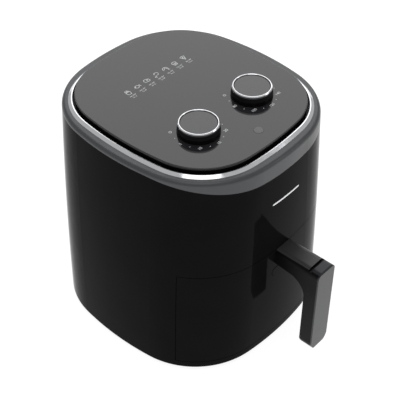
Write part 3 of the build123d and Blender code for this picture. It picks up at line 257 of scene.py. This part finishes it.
def disc(centre, radius, thickness, count=16):
    """A flat round dot: a fan of points on a circle, with a thickness upwards."""
    angle = np.linspace(0, 2 * np.pi, count, endpoint=False)
    circle = np.stack([centre[0] + radius * np.cos(angle), centre[1] + radius * np.sin(angle)], 1)
    low = np.hstack([circle, np.zeros((count, 1))])
    high = np.hstack([circle, np.full((count, 1), thickness)])
    index = np.arange(count)
    faces = [tuple(index[::-1]), tuple(index + count)]
    faces += [tuple(f) for f in grid_faces(2, count, False, True)]
    return np.concatenate([low, high]), faces


def type_shape(text, size, thickness):
    """Type of a given height as (vertices, faces), centred on the origin."""
    curve = bpy.data.curves.new("type", "FONT")
    curve.body = text
    curve.size = size
    curve.align_x = "CENTER"
    curve.align_y = "CENTER"
    curve.extrude = thickness / 2
    curve.resolution_u = 3
    holder = bpy.data.objects.new("type", curve)
    bpy.context.scene.collection.objects.link(holder)
    bpy.context.view_layer.update()
    mesh = bpy.data.meshes.new_from_object(
        holder.evaluated_get(bpy.context.evaluated_depsgraph_get()))
    vertices = np.zeros(len(mesh.vertices) * 3)
    mesh.vertices.foreach_get("co", vertices)
    vertices = vertices.reshape(-1, 3) + (0, 0, thickness / 2)
    faces = [tuple(polygon.vertices) for polygon in mesh.polygons]
    bpy.data.objects.remove(holder)
    bpy.data.curves.remove(curve)
    bpy.data.meshes.remove(mesh)
    return vertices, faces


def moved(part, x=0.0, y=0.0, z=0.0):
    """A (vertices, faces) pair moved by a vector."""
    return part[0] + (x, y, z), part[1]


# ---------------------------------------------------------------- finishes
def noise(tree, place, size, detail):
    """Cloudy noise whose lumps are about this many millimetres across."""
    return add_node(
        tree, "ShaderNodeTexNoise", {"Vector": place, "Scale": per_metre(size), "Detail": detail})


def polished_abs(colours):
    """ABS moulded in a polished tool and buffed: a deep black mirror with a very slight
    long wave, as large gloss mouldings have, and a faint haze that comes and goes."""
    material, tree, place = start_material("polished_black_abs")
    haze = noise(tree, place, 38, 3.0)
    wave = noise(tree, place, 70, 0.0)
    bump = add_node(
        tree, "ShaderNodeBump", {"Height": wave.outputs[0], "Strength": 0.05, "Distance": 0.002})
    finish_material(tree, add_node(tree, "ShaderNodeBsdfPrincipled", {
        "Base Color": tint(tree, haze.outputs[0], colours.body_black, 0.85, 1.15),
        "Roughness": spread(tree, haze.outputs[0], 0.045, 0.085),
        "Normal": bump.outputs[0],
        "IOR": 1.5,
        "Specular IOR Level": 0.015,
    }))
    return material


def gunmetal_paint(colours):
    """Satin gunmetal paint sprayed on ABS: a soft sheen with fine flakes in it."""
    material, tree, place = start_material("satin_gunmetal_paint")
    flake = noise(tree, place, 0.7, 1.0)
    drift = noise(tree, place, 30, 2.0)
    bump = add_node(
        tree, "ShaderNodeBump", {"Height": flake.outputs[0], "Strength": 0.03, "Distance": 0.0003})
    finish_material(tree, add_node(tree, "ShaderNodeBsdfPrincipled", {
        "Base Color": tint(tree, flake.outputs[0], colours.bezel_grey, 0.86, 1.14),
        "Metallic": 0.35,
        "Roughness": spread(tree, drift.outputs[0], 0.3, 0.38),
        "Normal": bump.outputs[0],
    }))
    return material


def chromium(colours):
    """ABS plated with bright chromium: a near mirror, a little softer in places."""
    material, tree, place = start_material("bright_chromium_plate")
    wear = noise(tree, place, 6, 4.0)
    finish_material(tree, add_node(tree, "ShaderNodeBsdfPrincipled", {
        "Base Color": tint(tree, wear.outputs[0], colours.chrome, 0.97, 1.03),
        "Metallic": 1.0,
        "Roughness": spread(tree, wear.outputs[0], 0.07, 0.15),
    }))
    return material


def coated_panel(colours):
    """Grey polycarbonate sheet with a hard clear coat: dark in itself and mirror smooth,
    so that it takes its grey from the sky of the room and shows the knobs standing on it."""
    material, tree, place = start_material("clear_coated_polycarbonate")
    cloud = noise(tree, place, 25, 3.0)
    wipe = noise(tree, place, 90, 0.0)
    bump = add_node(
        tree, "ShaderNodeBump", {"Height": wipe.outputs[0], "Strength": 0.02, "Distance": 0.002})
    finish_material(tree, add_node(tree, "ShaderNodeBsdfPrincipled", {
        "Base Color": tint(tree, cloud.outputs[0], colours.panel_grey, 0.94, 1.06),
        "Roughness": spread(tree, cloud.outputs[0], 0.05, 0.09),
        "Normal": bump.outputs[0],
        "IOR": 1.56,
    }))
    return material


def grained_plastic(name, colour_value, roughness, grain, depth, gloss=0.5):
    """Plastic moulded against a spark-eroded tool: an even fine grain that breaks up the
    sheen, with a slow drift of gloss."""
    material, tree, place = start_material(name)
    pores = noise(tree, place, grain, 2.0)
    drift = noise(tree, place, 22, 2.0)
    bump = add_node(
        tree, "ShaderNodeBump", {"Height": pores.outputs[0], "Strength": depth, "Distance": 0.0003})
    finish_material(tree, add_node(tree, "ShaderNodeBsdfPrincipled", {
        "Base Color": tint(tree, pores.outputs[0], colour_value, 0.85, 1.15),
        "Roughness": spread(tree, drift.outputs[0], roughness - 0.04, roughness + 0.04),
        "Normal": bump.outputs[0],
        "Specular IOR Level": gloss,
    }))
    return material


def metallic_paint(colours):
    """Dark metallic paint on a pressed plate: aluminium flakes under a satin lacquer, so
    edges that face the light turn bright."""
    material, tree, place = start_material("metallic_painted_plate")
    flake = add_node(tree, "ShaderNodeTexVoronoi", {"Vector": place, "Scale": per_metre(0.6)})
    finish_material(tree, add_node(tree, "ShaderNodeBsdfPrincipled", {
        "Base Color": tint(tree, flake.outputs["Distance"], colours.plate_grey, 0.85, 1.2),
        "Metallic": 0.75,
        "Roughness": spread(tree, flake.outputs["Distance"], 0.3, 0.36),
        "Coat Weight": 0.2,
        "Coat Roughness": 0.15,
    }))
    return material


def rolled_steel(name, colour_value, roughness, stretch):
    """Cold-rolled sheet: fine lines along the rolling direction, drawn coarser than they
    are so that they show, and cloudy patches of oil and heat."""
    material, tree, place = start_material(name)
    lines = add_node(tree, "ShaderNodeMapping", {"Vector": place, "Scale": stretch})
    roll = noise(tree, lines.outputs[0], 0.8, 3.0)
    cloud = noise(tree, place, 28, 4.0)
    bump = add_node(
        tree, "ShaderNodeBump", {"Height": roll.outputs[0], "Strength": 0.08, "Distance": 0.0002})
    finish_material(tree, add_node(tree, "ShaderNodeBsdfPrincipled", {
        "Base Color": tint(tree, cloud.outputs[0], colour_value, 0.8, 1.15),
        "Metallic": 1.0,
        "Roughness": spread(tree, roll.outputs[0], roughness - 0.06, roughness + 0.08),
        "Normal": bump.outputs[0],
    }))
    return material


def heat_tinted_sheath():
    """Stainless sheath after use: straw to blue-brown bands where it ran hottest."""
    material, tree, place = start_material("heat_tinted_stainless")
    band = noise(tree, place, 35, 3.0)
    ramp = add_node(tree, "ShaderNodeValToRGB", {"Fac": band.outputs[0]})
    ramp.color_ramp.elements[0].position = 0.35
    ramp.color_ramp.elements[0].color = (*linear("#4A443F"), 1.0)
    ramp.color_ramp.elements[1].position = 0.65
    ramp.color_ramp.elements[1].color = (*linear("#7E756B"), 1.0)
    finish_material(tree, add_node(tree, "ShaderNodeBsdfPrincipled", {
        "Base Color": ramp.outputs[0],
        "Metallic": 1.0,
        "Roughness": spread(tree, band.outputs[0], 0.3, 0.5),
    }))
    return material


def nonstick_coating():
    """Dark non-stick coating over pressed steel: grey specks in black and a soft, slightly
    pebbled sheen."""
    material, tree, place = start_material("nonstick_coated_steel")
    speck = add_node(tree, "ShaderNodeTexVoronoi", {"Vector": place, "Scale": per_metre(2.2)})
    dots = add_node(tree, "ShaderNodeMapRange", {
        "Value": speck.outputs["Distance"], "From Min": 0.1, "From Max": 0.16})
    pebble = noise(tree, place, 1.2, 2.0)
    bump = add_node(
        tree, "ShaderNodeBump", {"Height": pebble.outputs[0], "Strength": 0.12, "Distance": 0.0003})
    colour_mix = add_node(
        tree, "ShaderNodeMix",
        {"Factor": dots.outputs[0], "A": (*linear("#6E6E70"), 1.0), "B": (*linear("#202022"), 1.0)},
        data_type="RGBA")
    finish_material(tree, add_node(tree, "ShaderNodeBsdfPrincipled", {
        "Base Color": colour_mix.outputs["Result"],
        "Roughness": spread(tree, pebble.outputs[0], 0.28, 0.4),
        "Normal": bump.outputs[0],
    }))
    return material


def laminated_steel():
    """Stack of stamped electrical steel: the edges of 0.5 mm sheets, drawn at 1 mm so that
    they show, with blued varnish between them."""
    material, tree, place = start_material("stacked_electrical_steel")
    sheets = add_node(
        tree, "ShaderNodeTexWave", {"Vector": place, "Scale": per_metre(1.0) / 20.0, "Distortion": 0.4},
        bands_direction="Z")
    bump = add_node(
        tree, "ShaderNodeBump", {"Height": sheets.outputs[1], "Strength": 0.4, "Distance": 0.0004})
    finish_material(tree, add_node(tree, "ShaderNodeBsdfPrincipled", {
        "Base Color": tint(tree, sheets.outputs[1], linear("#6B6E74"), 0.5, 1.1),
        "Metallic": 0.9,
        "Roughness": spread(tree, sheets.outputs[1], 0.35, 0.55),
        "Normal": bump.outputs[0],
    }))
    return material


def enamelled_copper():
    """Enamelled copper wire: warm metal under a thin amber varnish."""
    material, tree, place = start_material("enamelled_copper_wire")
    varnish = noise(tree, place, 5, 3.0)
    finish_material(tree, add_node(tree, "ShaderNodeBsdfPrincipled", {
        "Base Color": tint(tree, varnish.outputs[0], linear("#B4663A"), 0.75, 1.15),
        "Metallic": 1.0,
        "Roughness": spread(tree, varnish.outputs[0], 0.22, 0.34),
        "Coat Weight": 0.5,
        "Coat Roughness": 0.12,
    }))
    return material


def moulded_rubber(name, colour_value):
    """Compression-moulded rubber: matt, with a faint dusty bloom in the hollows."""
    material, tree, place = start_material(name)
    bloom = noise(tree, place, 4, 5.0)
    grain = noise(tree, place, 0.5, 1.0)
    bump = add_node(
        tree, "ShaderNodeBump", {"Height": grain.outputs[0], "Strength": 0.15, "Distance": 0.0002})
    finish_material(tree, add_node(tree, "ShaderNodeBsdfPrincipled", {
        "Base Color": tint(tree, bloom.outputs[0], colour_value, 0.8, 1.3),
        "Roughness": spread(tree, bloom.outputs[0], 0.68, 0.85),
        "Normal": bump.outputs[0],
        "Specular IOR Level": 0.35,
    }))
    return material


def clear_lens():
    """Smoked polycarbonate lens over the lamp: glossy and slightly see-through."""
    material, tree, place = start_material("smoked_polycarbonate_lens")
    prism = add_node(tree, "ShaderNodeTexVoronoi", {"Vector": place, "Scale": per_metre(1.0)})
    bump = add_node(
        tree, "ShaderNodeBump", {"Height": prism.outputs["Distance"], "Strength": 0.06, "Distance": 0.0003})
    finish_material(tree, add_node(tree, "ShaderNodeBsdfPrincipled", {
        "Base Color": tint(tree, prism.outputs["Distance"], linear("#5C5C5E"), 0.9, 1.15),
        "Roughness": 0.14,
        "Transmission Weight": 0.25,
        "Normal": bump.outputs[0],
    }))
    return material


def printing_ink(colours):
    """Screen-printed ink: pale and matt, slightly uneven in cover."""
    material, tree, place = start_material("screen_printed_ink")
    cover = noise(tree, place, 1.5, 2.0)
    finish_material(tree, add_node(tree, "ShaderNodeBsdfPrincipled", {
        "Base Color": tint(tree, cover.outputs[0], colours.ink, 0.85, 1.05),
        "Roughness": spread(tree, cover.outputs[0], 0.45, 0.6),
    }))
    return material


def pale_floor(glow):
    """Matt white studio sweep that adds a little light of its own."""
    material, tree, place = start_material("white_studio_floor")
    paper = noise(tree, place, 300, 1.0)
    finish_material(tree, add_node(tree, "ShaderNodeBsdfPrincipled", {
        "Base Color": tint(tree, paper.outputs[0], linear("#8C8C8C"), 0.99, 1.0),
        "Roughness": 0.9,
        "Specular IOR Level": 0.1,
        "Emission Color": (1.0, 1.0, 1.0, 1.0),
        "Emission Strength": glow,
    }))
    return material


# ---------------------------------------------------------------- operators
class AIRFRYER_OT_stage(bpy.types.Operator):
    """Lay the floor, set the soft lights and place the camera"""

    bl_idname = "airfryer.stage"
    bl_label = "Stage"

    def execute(self, context):
        scene = context.scene
        stage = scene.air_fryer_stage
        centre = Vector((0.0, BODY_Y, 0.0))
        scene.view_settings.view_transform = "Standard"

        mesh = bpy.data.meshes.new("studio_floor")
        step = np.linspace(-FLOOR_HALF, FLOOR_HALF, 3)
        across, along = np.meshgrid(step, step)
        points = np.stack([across.ravel(), along.ravel(), np.zeros(across.size)], 1)
        mesh.from_pydata(points, [], grid_faces(3, 3))
        mesh.materials.append(pale_floor(stage.floor_glow))
        floor = bpy.data.objects.new("studio_floor", mesh)
        scene.collection.objects.link(floor)

        world = bpy.data.worlds.new("studio")
        world.use_nodes = True
        scene.world = world
        backdrop = world.node_tree.nodes["Background"]
        backdrop.inputs["Color"].default_value = (1.0, 1.0, 1.0, 1.0)
        backdrop.inputs["Strength"].default_value = WORLD_LIGHT

        back = Vector((
            math.sin(stage.azimuth) * math.cos(stage.elevation),
            -math.cos(stage.azimuth) * math.cos(stage.elevation),
            math.sin(stage.elevation)))
        target = centre + Vector((0.0, stage.target_y, stage.target_z))
        lens = bpy.data.cameras.new("camera")
        lens.sensor_width = 36.0
        lens.lens = stage.focal_length
        camera = bpy.data.objects.new("camera", lens)
        camera.location = target + back * stage.distance
        camera.rotation_euler = Euler((math.pi / 2 - stage.elevation, 0.0, stage.azimuth))
        scene.collection.objects.link(camera)
        scene.camera = camera

        # the far softbox lies where the panel mirrors it to the camera
        top = centre + Vector((0.0, 0.0, PANEL_TOP))
        mirrored = Vector((-back.x, -back.y, back.z))
        self.softbox(scene, "far_softbox", top + mirrored * 1.7, top, 1.9, 1.25)
        # the near one lights the ring's bevel, and the side one the handle's top edge
        self.softbox(scene, "near_softbox", top + Vector((-0.55, -0.5, 2.1)), top, 1.5, 1.2)
        self.softbox(scene, "side_softbox", centre + Vector((1.15, -1.4, 1.2)), top, 0.6, 1.2)
        return {"FINISHED"}

    @staticmethod
    def softbox(scene, name, place, target, side, radiance):
        """A square light of even radiance that faces a point."""
        light = bpy.data.lights.new(name, "AREA")
        light.shape = "SQUARE"
        light.size = side
        light.energy = radiance * math.pi * side * side
        lamp = bpy.data.objects.new(name, light)
        lamp.location = place
        lamp.rotation_euler = (target - place).to_track_quat("-Z", "Y").to_euler()
        scene.collection.objects.link(lamp)


class AIRFRYER_OT_finishes(bpy.types.Operator):
    """Give every carried-over part its own finish"""

    bl_idname = "airfryer.finishes"
    bl_label = "Finishes"

    def execute(self, context):
        colours = context.scene.air_fryer_finishes
        moulded = grained_plastic("grained_black_abs", colours.moulded_black, 0.3, 0.9, 0.06, 0.08)
        zinc = rolled_steel("zinc_plated_steel", linear("#B9BCBE"), 0.34, (1.0, 1.0, 1.0))
        control = ("timer", "temperature")
        groups = (
            (polished_abs(colours), ("outer_shell", "drawer_front", "handle_screw_cap")),
            (gunmetal_paint(colours), ("top_bezel",)),
            (chromium(colours), ("chrome_ring", *(f"{c}_knob_ring" for c in control))),
            (coated_panel(colours), ("control_panel",)),
            (grained_plastic("satin_painted_cap", colours.cap_grey, 0.26, 1.1, 0.02),
             tuple(f"{c}_knob_cap" for c in control)),
            (moulded, ("panel_plinth", "handle_body", "rear_grille", "base_tray", "drawer_frame",
                       "microswitch", *(f"{c}_knob_body" for c in control))),
            (grained_plastic("satin_dark_abs", colours.cover_grey, 0.33, 0.8, 0.05),
             ("handle_top_cover",)),
            (metallic_paint(colours), ("handle_faceplate",)),
            (clear_lens(), ("indicator_lens",)),
            (grained_plastic("amber_lamp_glass", linear("#C56A1E"), 0.2, 1.5, 0.02),
             ("indicator_lamp",)),
            (rolled_steel("aluminised_steel_sheet", linear("#B3B4B2"), 0.32, (1.0, 0.04, 1.0)),
             ("inner_liner", "heat_reflector", "exhaust_duct")),
            (nonstick_coating(), ("pan", "crisper_plate")),
            (moulded_rubber("grey_silicone", linear("#5A5A5A")), ("plate_bumpers",)),
            (moulded_rubber("black_rubber", linear("#1E1E1E")), ("feet", "cord_inlet")),
            (heat_tinted_sheath(), ("heating_element",)),
            (rolled_steel("bright_steel_wire", linear("#C6C7C8"), 0.22, (1.0, 1.0, 1.0)),
             ("heater_guard",)),
            (rolled_steel("pressed_aluminium", linear("#D0D1D3"), 0.3, (0.1, 1.0, 1.0)),
             ("circulation_fan", "cooling_fan")),
            (laminated_steel(), ("motor_core",)),
            (rolled_steel("ground_steel_shaft", linear("#A7A8AA"), 0.24, (1.0, 1.0, 8.0)),
             ("motor_shaft", "timer_shaft", "thermostat_shaft")),
            (enamelled_copper(), ("motor_coil", "thermostat_bulb")),
            (grained_plastic("white_thermoset", linear("#CFCDC3"), 0.42, 0.8, 0.08),
             ("timer_case", "terminal_block", "thermal_fuse")),
            (zinc, ("drawer_rails", "heater_brackets", "motor_bracket", "motor_bridge",
                    "thermostat_case", "timer_bell", "base_screws", "plinth_screws",
                    "control_screws", "motor_screws", "frame_screws", "handle_screws")),
        )
        dressed = set()
        for material, names in groups:
            for name in names:
                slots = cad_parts[name].data.materials
                slots.clear()
                slots.append(material)
                dressed.add(name)
        bare = set(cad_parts) - dressed
        if bare:
            raise RuntimeError(f"no finish for {sorted(bare)}")
        return {"FINISHED"}


def knob_centre(control):
    """Axis of a knob, from its cap's box."""
    low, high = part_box(f"{control}_knob_cap")
    return (low + high) / 2


class AIRFRYER_OT_dial_scales(bpy.types.Operator):
    """Print the numbers and dots round the two knobs"""

    bl_idname = "airfryer.dial_scales"
    bl_label = "Dial scales"

    # numbers every 45 degrees, anticlockwise from the off mark at the back left
    scales = {
        "timer": ("5", "10", "15", "20", "25", "30"),
        "temperature": ("80", "100", "120", "140", "160", "180"),
    }

    def execute(self, context):
        sizes = context.scene.air_fryer_sizes
        ink = printing_ink(context.scene.air_fryer_finishes)
        for control, numbers in self.scales.items():
            centre = knob_centre(control)
            parts = self.off_mark(sizes)
            for index, number in enumerate(numbers):
                angle = math.radians(180 + 45 * index)
                parts.append(moved(
                    type_shape(number, sizes.numeral_size, sizes.ink_height),
                    sizes.scale_radius * math.cos(angle), sizes.scale_radius * math.sin(angle)))
            for index in range(2 * len(numbers)):
                angle = math.radians(157.5 + 22.5 * index)
                if index % 2 == 0:
                    place = [(sizes.scale_radius - 1 * MM) * f(angle) for f in (math.cos, math.sin)]
                    parts.append(disc(place, sizes.dot_radius, sizes.ink_height))
            vertices, faces = join_parts(parts)
            mesh_piece(
                f"{control}_scale", vertices + (centre.x, centre.y, PANEL_TOP), faces, ink,
                smooth=False)
        return {"FINISHED"}

    def off_mark(self, sizes):
        """A small open ring with a bar, at 135 degrees."""
        angle = math.radians(135)
        reach = sizes.scale_radius + 1.5 * MM
        place = (reach * math.cos(angle), reach * math.sin(angle))
        ring = arc(place, 1.5 * MM, 120, 420, 28)
        bar = np.linspace((place[0], place[1] + 0.4 * MM), (place[0], place[1] + 2.0 * MM), 3)
        return [
            ribbon(ring, 0.5 * MM, sizes.ink_height),
            ribbon(bar, 0.5 * MM, sizes.ink_height),
        ]


class AIRFRYER_OT_menu_row(bpy.types.Operator):
    """Print the row of food pictograms and the figures under them"""

    bl_idname = "airfryer.menu_row"
    bl_label = "Menu row"

    figures = (
        ("180-200°", "12-15'"), ("160-180°", "15-20'"), ("180-200°", "20-25'"),
        ("180-200°", "25-30'"), ("160-180°", "10-12'"), ("150-160°", "25-30'"),
        ("180-190°", "10-15'"))

    def execute(self, context):
        sizes = context.scene.air_fryer_sizes
        ink = printing_ink(context.scene.air_fryer_finishes)
        drawings = (
            self.chips, self.fish, self.steak, self.drumstick, self.prawn, self.cake, self.slice)
        parts = []
        for index, (draw, lines) in enumerate(zip(drawings, self.figures)):
            x = (index - (len(drawings) - 1) / 2) * sizes.menu_pitch
            for path, closed in draw():
                stroke = ribbon(np.asarray(path) * sizes.pictogram, sizes.stroke, sizes.ink_height, closed)
                parts.append(moved(stroke, x, sizes.menu_y + 1.5 * MM))
            for row, line in enumerate(lines):
                drop = sizes.menu_y - (6.6 + 3.5 * row) * MM
                parts.append(moved(type_shape(line, sizes.caption_size, sizes.ink_height), x, drop))
        vertices, faces = join_parts(parts)
        mesh_piece(
            "menu_printing", vertices + (0.0, BODY_Y, PANEL_TOP), faces, ink,
            smooth=False)
        return {"FINISHED"}

    # each drawing returns (path, closed) strokes in a square from -1 to 1
    @staticmethod
    def chips():
        """A tapered box with five sticks standing in it."""
        box = [((-0.7, 0.1), (-0.5, -1.0), (0.5, -1.0), (0.7, 0.1))]
        strokes = [
            (np.concatenate([np.linspace(a, b, 6) for a, b in zip(p, p[1:] + p[:1])]), True)
            for p in box]
        for x, top in zip(np.linspace(-0.5, 0.5, 5), (0.7, 1.0, 0.8, 1.0, 0.6)):
            strokes.append((np.linspace((x, 0.2), (x * 1.2, top), 4), False))
        return strokes

    @staticmethod
    def fish():
        """Two arcs that meet at the nose, with a tail and an eye."""
        t = np.linspace(-1, 1, 24)
        upper = np.stack([t * 0.8 - 0.15, 0.55 * (1 - t**2)], 1)
        lower = np.stack([t * 0.8 - 0.15, -0.55 * (1 - t**2)], 1)
        tail = np.array([(0.62, 0.0), (1.0, 0.5), (0.9, 0.0), (1.0, -0.5)])
        return [(upper, False), (lower, False), (tail, True), (arc((-0.55, 0.1), 0.08, 0, 330, 8), False)]

    @staticmethod
    def steak():
        """A bean-shaped outline with a round bone."""
        t = np.linspace(0, 2 * np.pi, 40, endpoint=False)
        radius = 0.78 + 0.16 * np.cos(2 * t + 0.6) + 0.08 * np.sin(t)
        return [
            (np.stack([radius * np.cos(t), radius * np.sin(t)], 1), True),
            (arc((0.25, 0.15), 0.2, 0, 345, 16), True)]

    @staticmethod
    def drumstick():
        """A round of meat with a bone that ends in two knuckles."""
        meat = arc((0.25, 0.3), 0.62, -110, 190, 30)
        bone = np.linspace((-0.2, -0.2), (-0.75, -0.75), 5)
        return [
            (meat, False), (bone, False), (arc((-0.85, -0.66), 0.14, 0, 345, 12), True),
            (arc((-0.66, -0.85), 0.14, 0, 345, 12), True)]

    @staticmethod
    def prawn():
        """A curled body with feelers."""
        body = arc((0.0, 0.0), 0.8, -60, 200, 30)
        inner = arc((0.05, -0.05), 0.42, -40, 190, 20)
        return [(body, False), (inner, False), (np.linspace((0.4, -0.7), (0.9, -0.95), 4), False)]

    @staticmethod
    def cake():
        """A pleated cup with a domed top."""
        dome = arc((0.0, 0.0), 0.75, 0, 180, 24)
        strokes = [(dome, False), (np.linspace((-0.75, 0.0), (0.75, 0.0), 6), False)]
        for x in np.linspace(-0.6, 0.6, 4):
            strokes.append((np.linspace((x, -0.1), (x * 0.75, -0.95), 4), False))
        return strokes

    @staticmethod
    def slice():
        """A wedge with a crust and three rounds."""
        crust = arc((0.0, -1.2), 2.0, 68, 112, 14)
        sides = np.concatenate([
            np.linspace(crust[-1], (0.0, -1.0), 8), np.linspace((0.0, -1.0), crust[0], 8)])
        rounds = [(arc(c, 0.12, 0, 345, 10), True) for c in ((0.0, 0.35), (-0.2, -0.05), (0.15, -0.3))]
        return [(crust, False), (sides, False), *rounds]


class AIRFRYER_OT_front_bar(bpy.types.Operator):
    """Set a plain bar on the front of the casing"""

    bl_idname = "airfryer.front_bar"
    bl_label = "Front bar"

    def execute(self, context):
        """A half-round bar bent along the casing. Its spine is the parabola through three
        points that rays find on the casing; its section is an ellipse whose height falls to
        nothing as a quarter circle at both ends."""
        sizes = context.scene.air_fryer_sizes
        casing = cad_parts["outer_shell"]
        reach = sizes.badge_length / 2
        depths = []
        for x, rise in ((-reach, 0.0), (0.0, 0.0), (reach, 0.0), (0.0, sizes.badge_height)):
            found, place, _, _ = casing.ray_cast(
                (x, BODY_Y - 1.0, sizes.badge_z + rise), (0.0, 1.0, 0.0))
            if not found:
                raise RuntimeError("no casing behind the front bar")
            depths.append(place.y)
        curve = np.polyfit((-reach, 0.0, reach), depths[:3], 2)
        lean = (depths[3] - depths[1]) / sizes.badge_height
        x = reach * np.sin(np.linspace(-np.pi / 2, np.pi / 2, 61))[:, None]
        around = np.linspace(0, 2 * np.pi, 20, endpoint=False)[None, :]
        half = sizes.badge_height / 2
        beyond = np.clip((np.abs(x) - (reach - half)) / half, 0.0, 0.999)
        taper = np.sqrt(1 - beyond**2)
        rise = half * taper * np.sin(around)
        proud = 0.6 * MM * taper * np.cos(around)
        y = np.polyval(curve, x) + lean * rise - proud
        points = np.stack([x + 0 * around, y, sizes.badge_z + rise], axis=-1).reshape(-1, 3)
        faces = [tuple(f) for f in grid_faces(61, 20, False, True)]
        faces += [tuple(range(20))[::-1], tuple(range(60 * 20, 61 * 20))]
        mesh_piece("front_bar", points, faces, bpy.data.materials["bright_chromium_plate"])
        return {"FINISHED"}


class AIRFRYER_OT_motor_winding(bpy.types.Operator):
    """Wind the motor's coil from wire"""

    bl_idname = "airfryer.motor_winding"
    bl_label = "Motor winding"

    def execute(self, context):
        """The wire's centre runs round a rounded rectangle while it steps along the limb by
        its own thickness each turn; a circle is carried along that path."""
        sizes = context.scene.air_fryer_sizes
        low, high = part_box("motor_coil")
        wire = sizes.wire_radius
        count = int((high.x - low.x - 2 * wire) / (2.1 * wire))
        turn = np.linspace(0, 2 * np.pi * count, 44 * count)
        centre = (low + high) / 2
        half = np.array([(high.y - low.y) / 2 - wire, (high.z - low.z) / 2 - wire])
        power = 0.35
        cosine, sine = np.cos(turn), np.sin(turn)
        path = np.stack([
            low.x + wire + 2.1 * wire * turn / (2 * np.pi),
            centre.y + half[0] * np.sign(cosine) * np.abs(cosine) ** power,
            centre.z + half[1] * np.sign(sine) * np.abs(sine) ** power], 1)
        vertices, faces = self.tube(path, wire, 8)
        piece = mesh_piece("motor_winding", vertices, faces, bpy.data.materials["enamelled_copper_wire"])
        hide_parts("motor_coil")
        return {"FINISHED"}

    @staticmethod
    def tube(path, radius, sides):
        """A circle carried along a path, its axes square to the path's direction."""
        tangent = np.gradient(path, axis=0)
        tangent /= np.linalg.norm(tangent, axis=1)[:, None]
        first = np.cross(tangent, (1.0, 0.0, 0.0))
        first /= np.linalg.norm(first, axis=1)[:, None]
        second = np.cross(tangent, first)
        angle = np.linspace(0, 2 * np.pi, sides, endpoint=False)
        rings = path[:, None] + radius * (
            np.cos(angle)[None, :, None] * first[:, None] + np.sin(angle)[None, :, None] * second[:, None])
        faces = [tuple(f) for f in grid_faces(len(path), sides, False, True)]
        last = sides * (len(path) - 1)
        faces.append(tuple(range(sides))[::-1])
        faces.append(tuple(last + i for i in range(sides)))
        return rings.reshape(-1, 3), faces


class AIRFRYER_PT_panel(bpy.types.Panel):
    """Sidebar panel that lists the pieces and their settings"""

    bl_idname = "AIRFRYER_PT_panel"
    bl_label = "Air Fryer"
    bl_space_type = "VIEW_3D"
    bl_region_type = "UI"
    bl_category = "Air Fryer"

    def draw(self, context):
        for operator in OPERATORS:
            self.layout.operator(operator.bl_idname)
        for group in GROUPS:
            box = self.layout.box()
            holder = getattr(context.scene, group)
            for name in GROUPS[group].__annotations__:
                box.prop(holder, name)


OPERATORS = (
    AIRFRYER_OT_stage,
    AIRFRYER_OT_finishes,
    AIRFRYER_OT_dial_scales,
    AIRFRYER_OT_menu_row,
    AIRFRYER_OT_front_bar,
    AIRFRYER_OT_motor_winding,
)
GROUPS = {
    "air_fryer_finishes": AirFryerFinishes,
    "air_fryer_sizes": AirFryerSizes,
    "air_fryer_stage": AirFryerStage,
}


def register():
    for group in GROUPS:
        bpy.utils.register_class(GROUPS[group])
        setattr(bpy.types.Scene, group, bpy.props.PointerProperty(type=GROUPS[group]))
    for operator in OPERATORS:
        bpy.utils.register_class(operator)
    bpy.utils.register_class(AIRFRYER_PT_panel)


def unregister():
    bpy.utils.unregister_class(AIRFRYER_PT_panel)
    for operator in reversed(OPERATORS):
        bpy.utils.unregister_class(operator)
    for group in GROUPS:
        delattr(bpy.types.Scene, group)
        bpy.utils.unregister_class(GROUPS[group])


def main():
    register()
    bpy.ops.airfryer.stage()
    bpy.ops.airfryer.finishes()
    bpy.ops.airfryer.dial_scales()
    bpy.ops.airfryer.menu_row()
    bpy.ops.airfryer.front_bar()
    bpy.ops.airfryer.motor_winding()


if __name__ == "__main__":
    main()
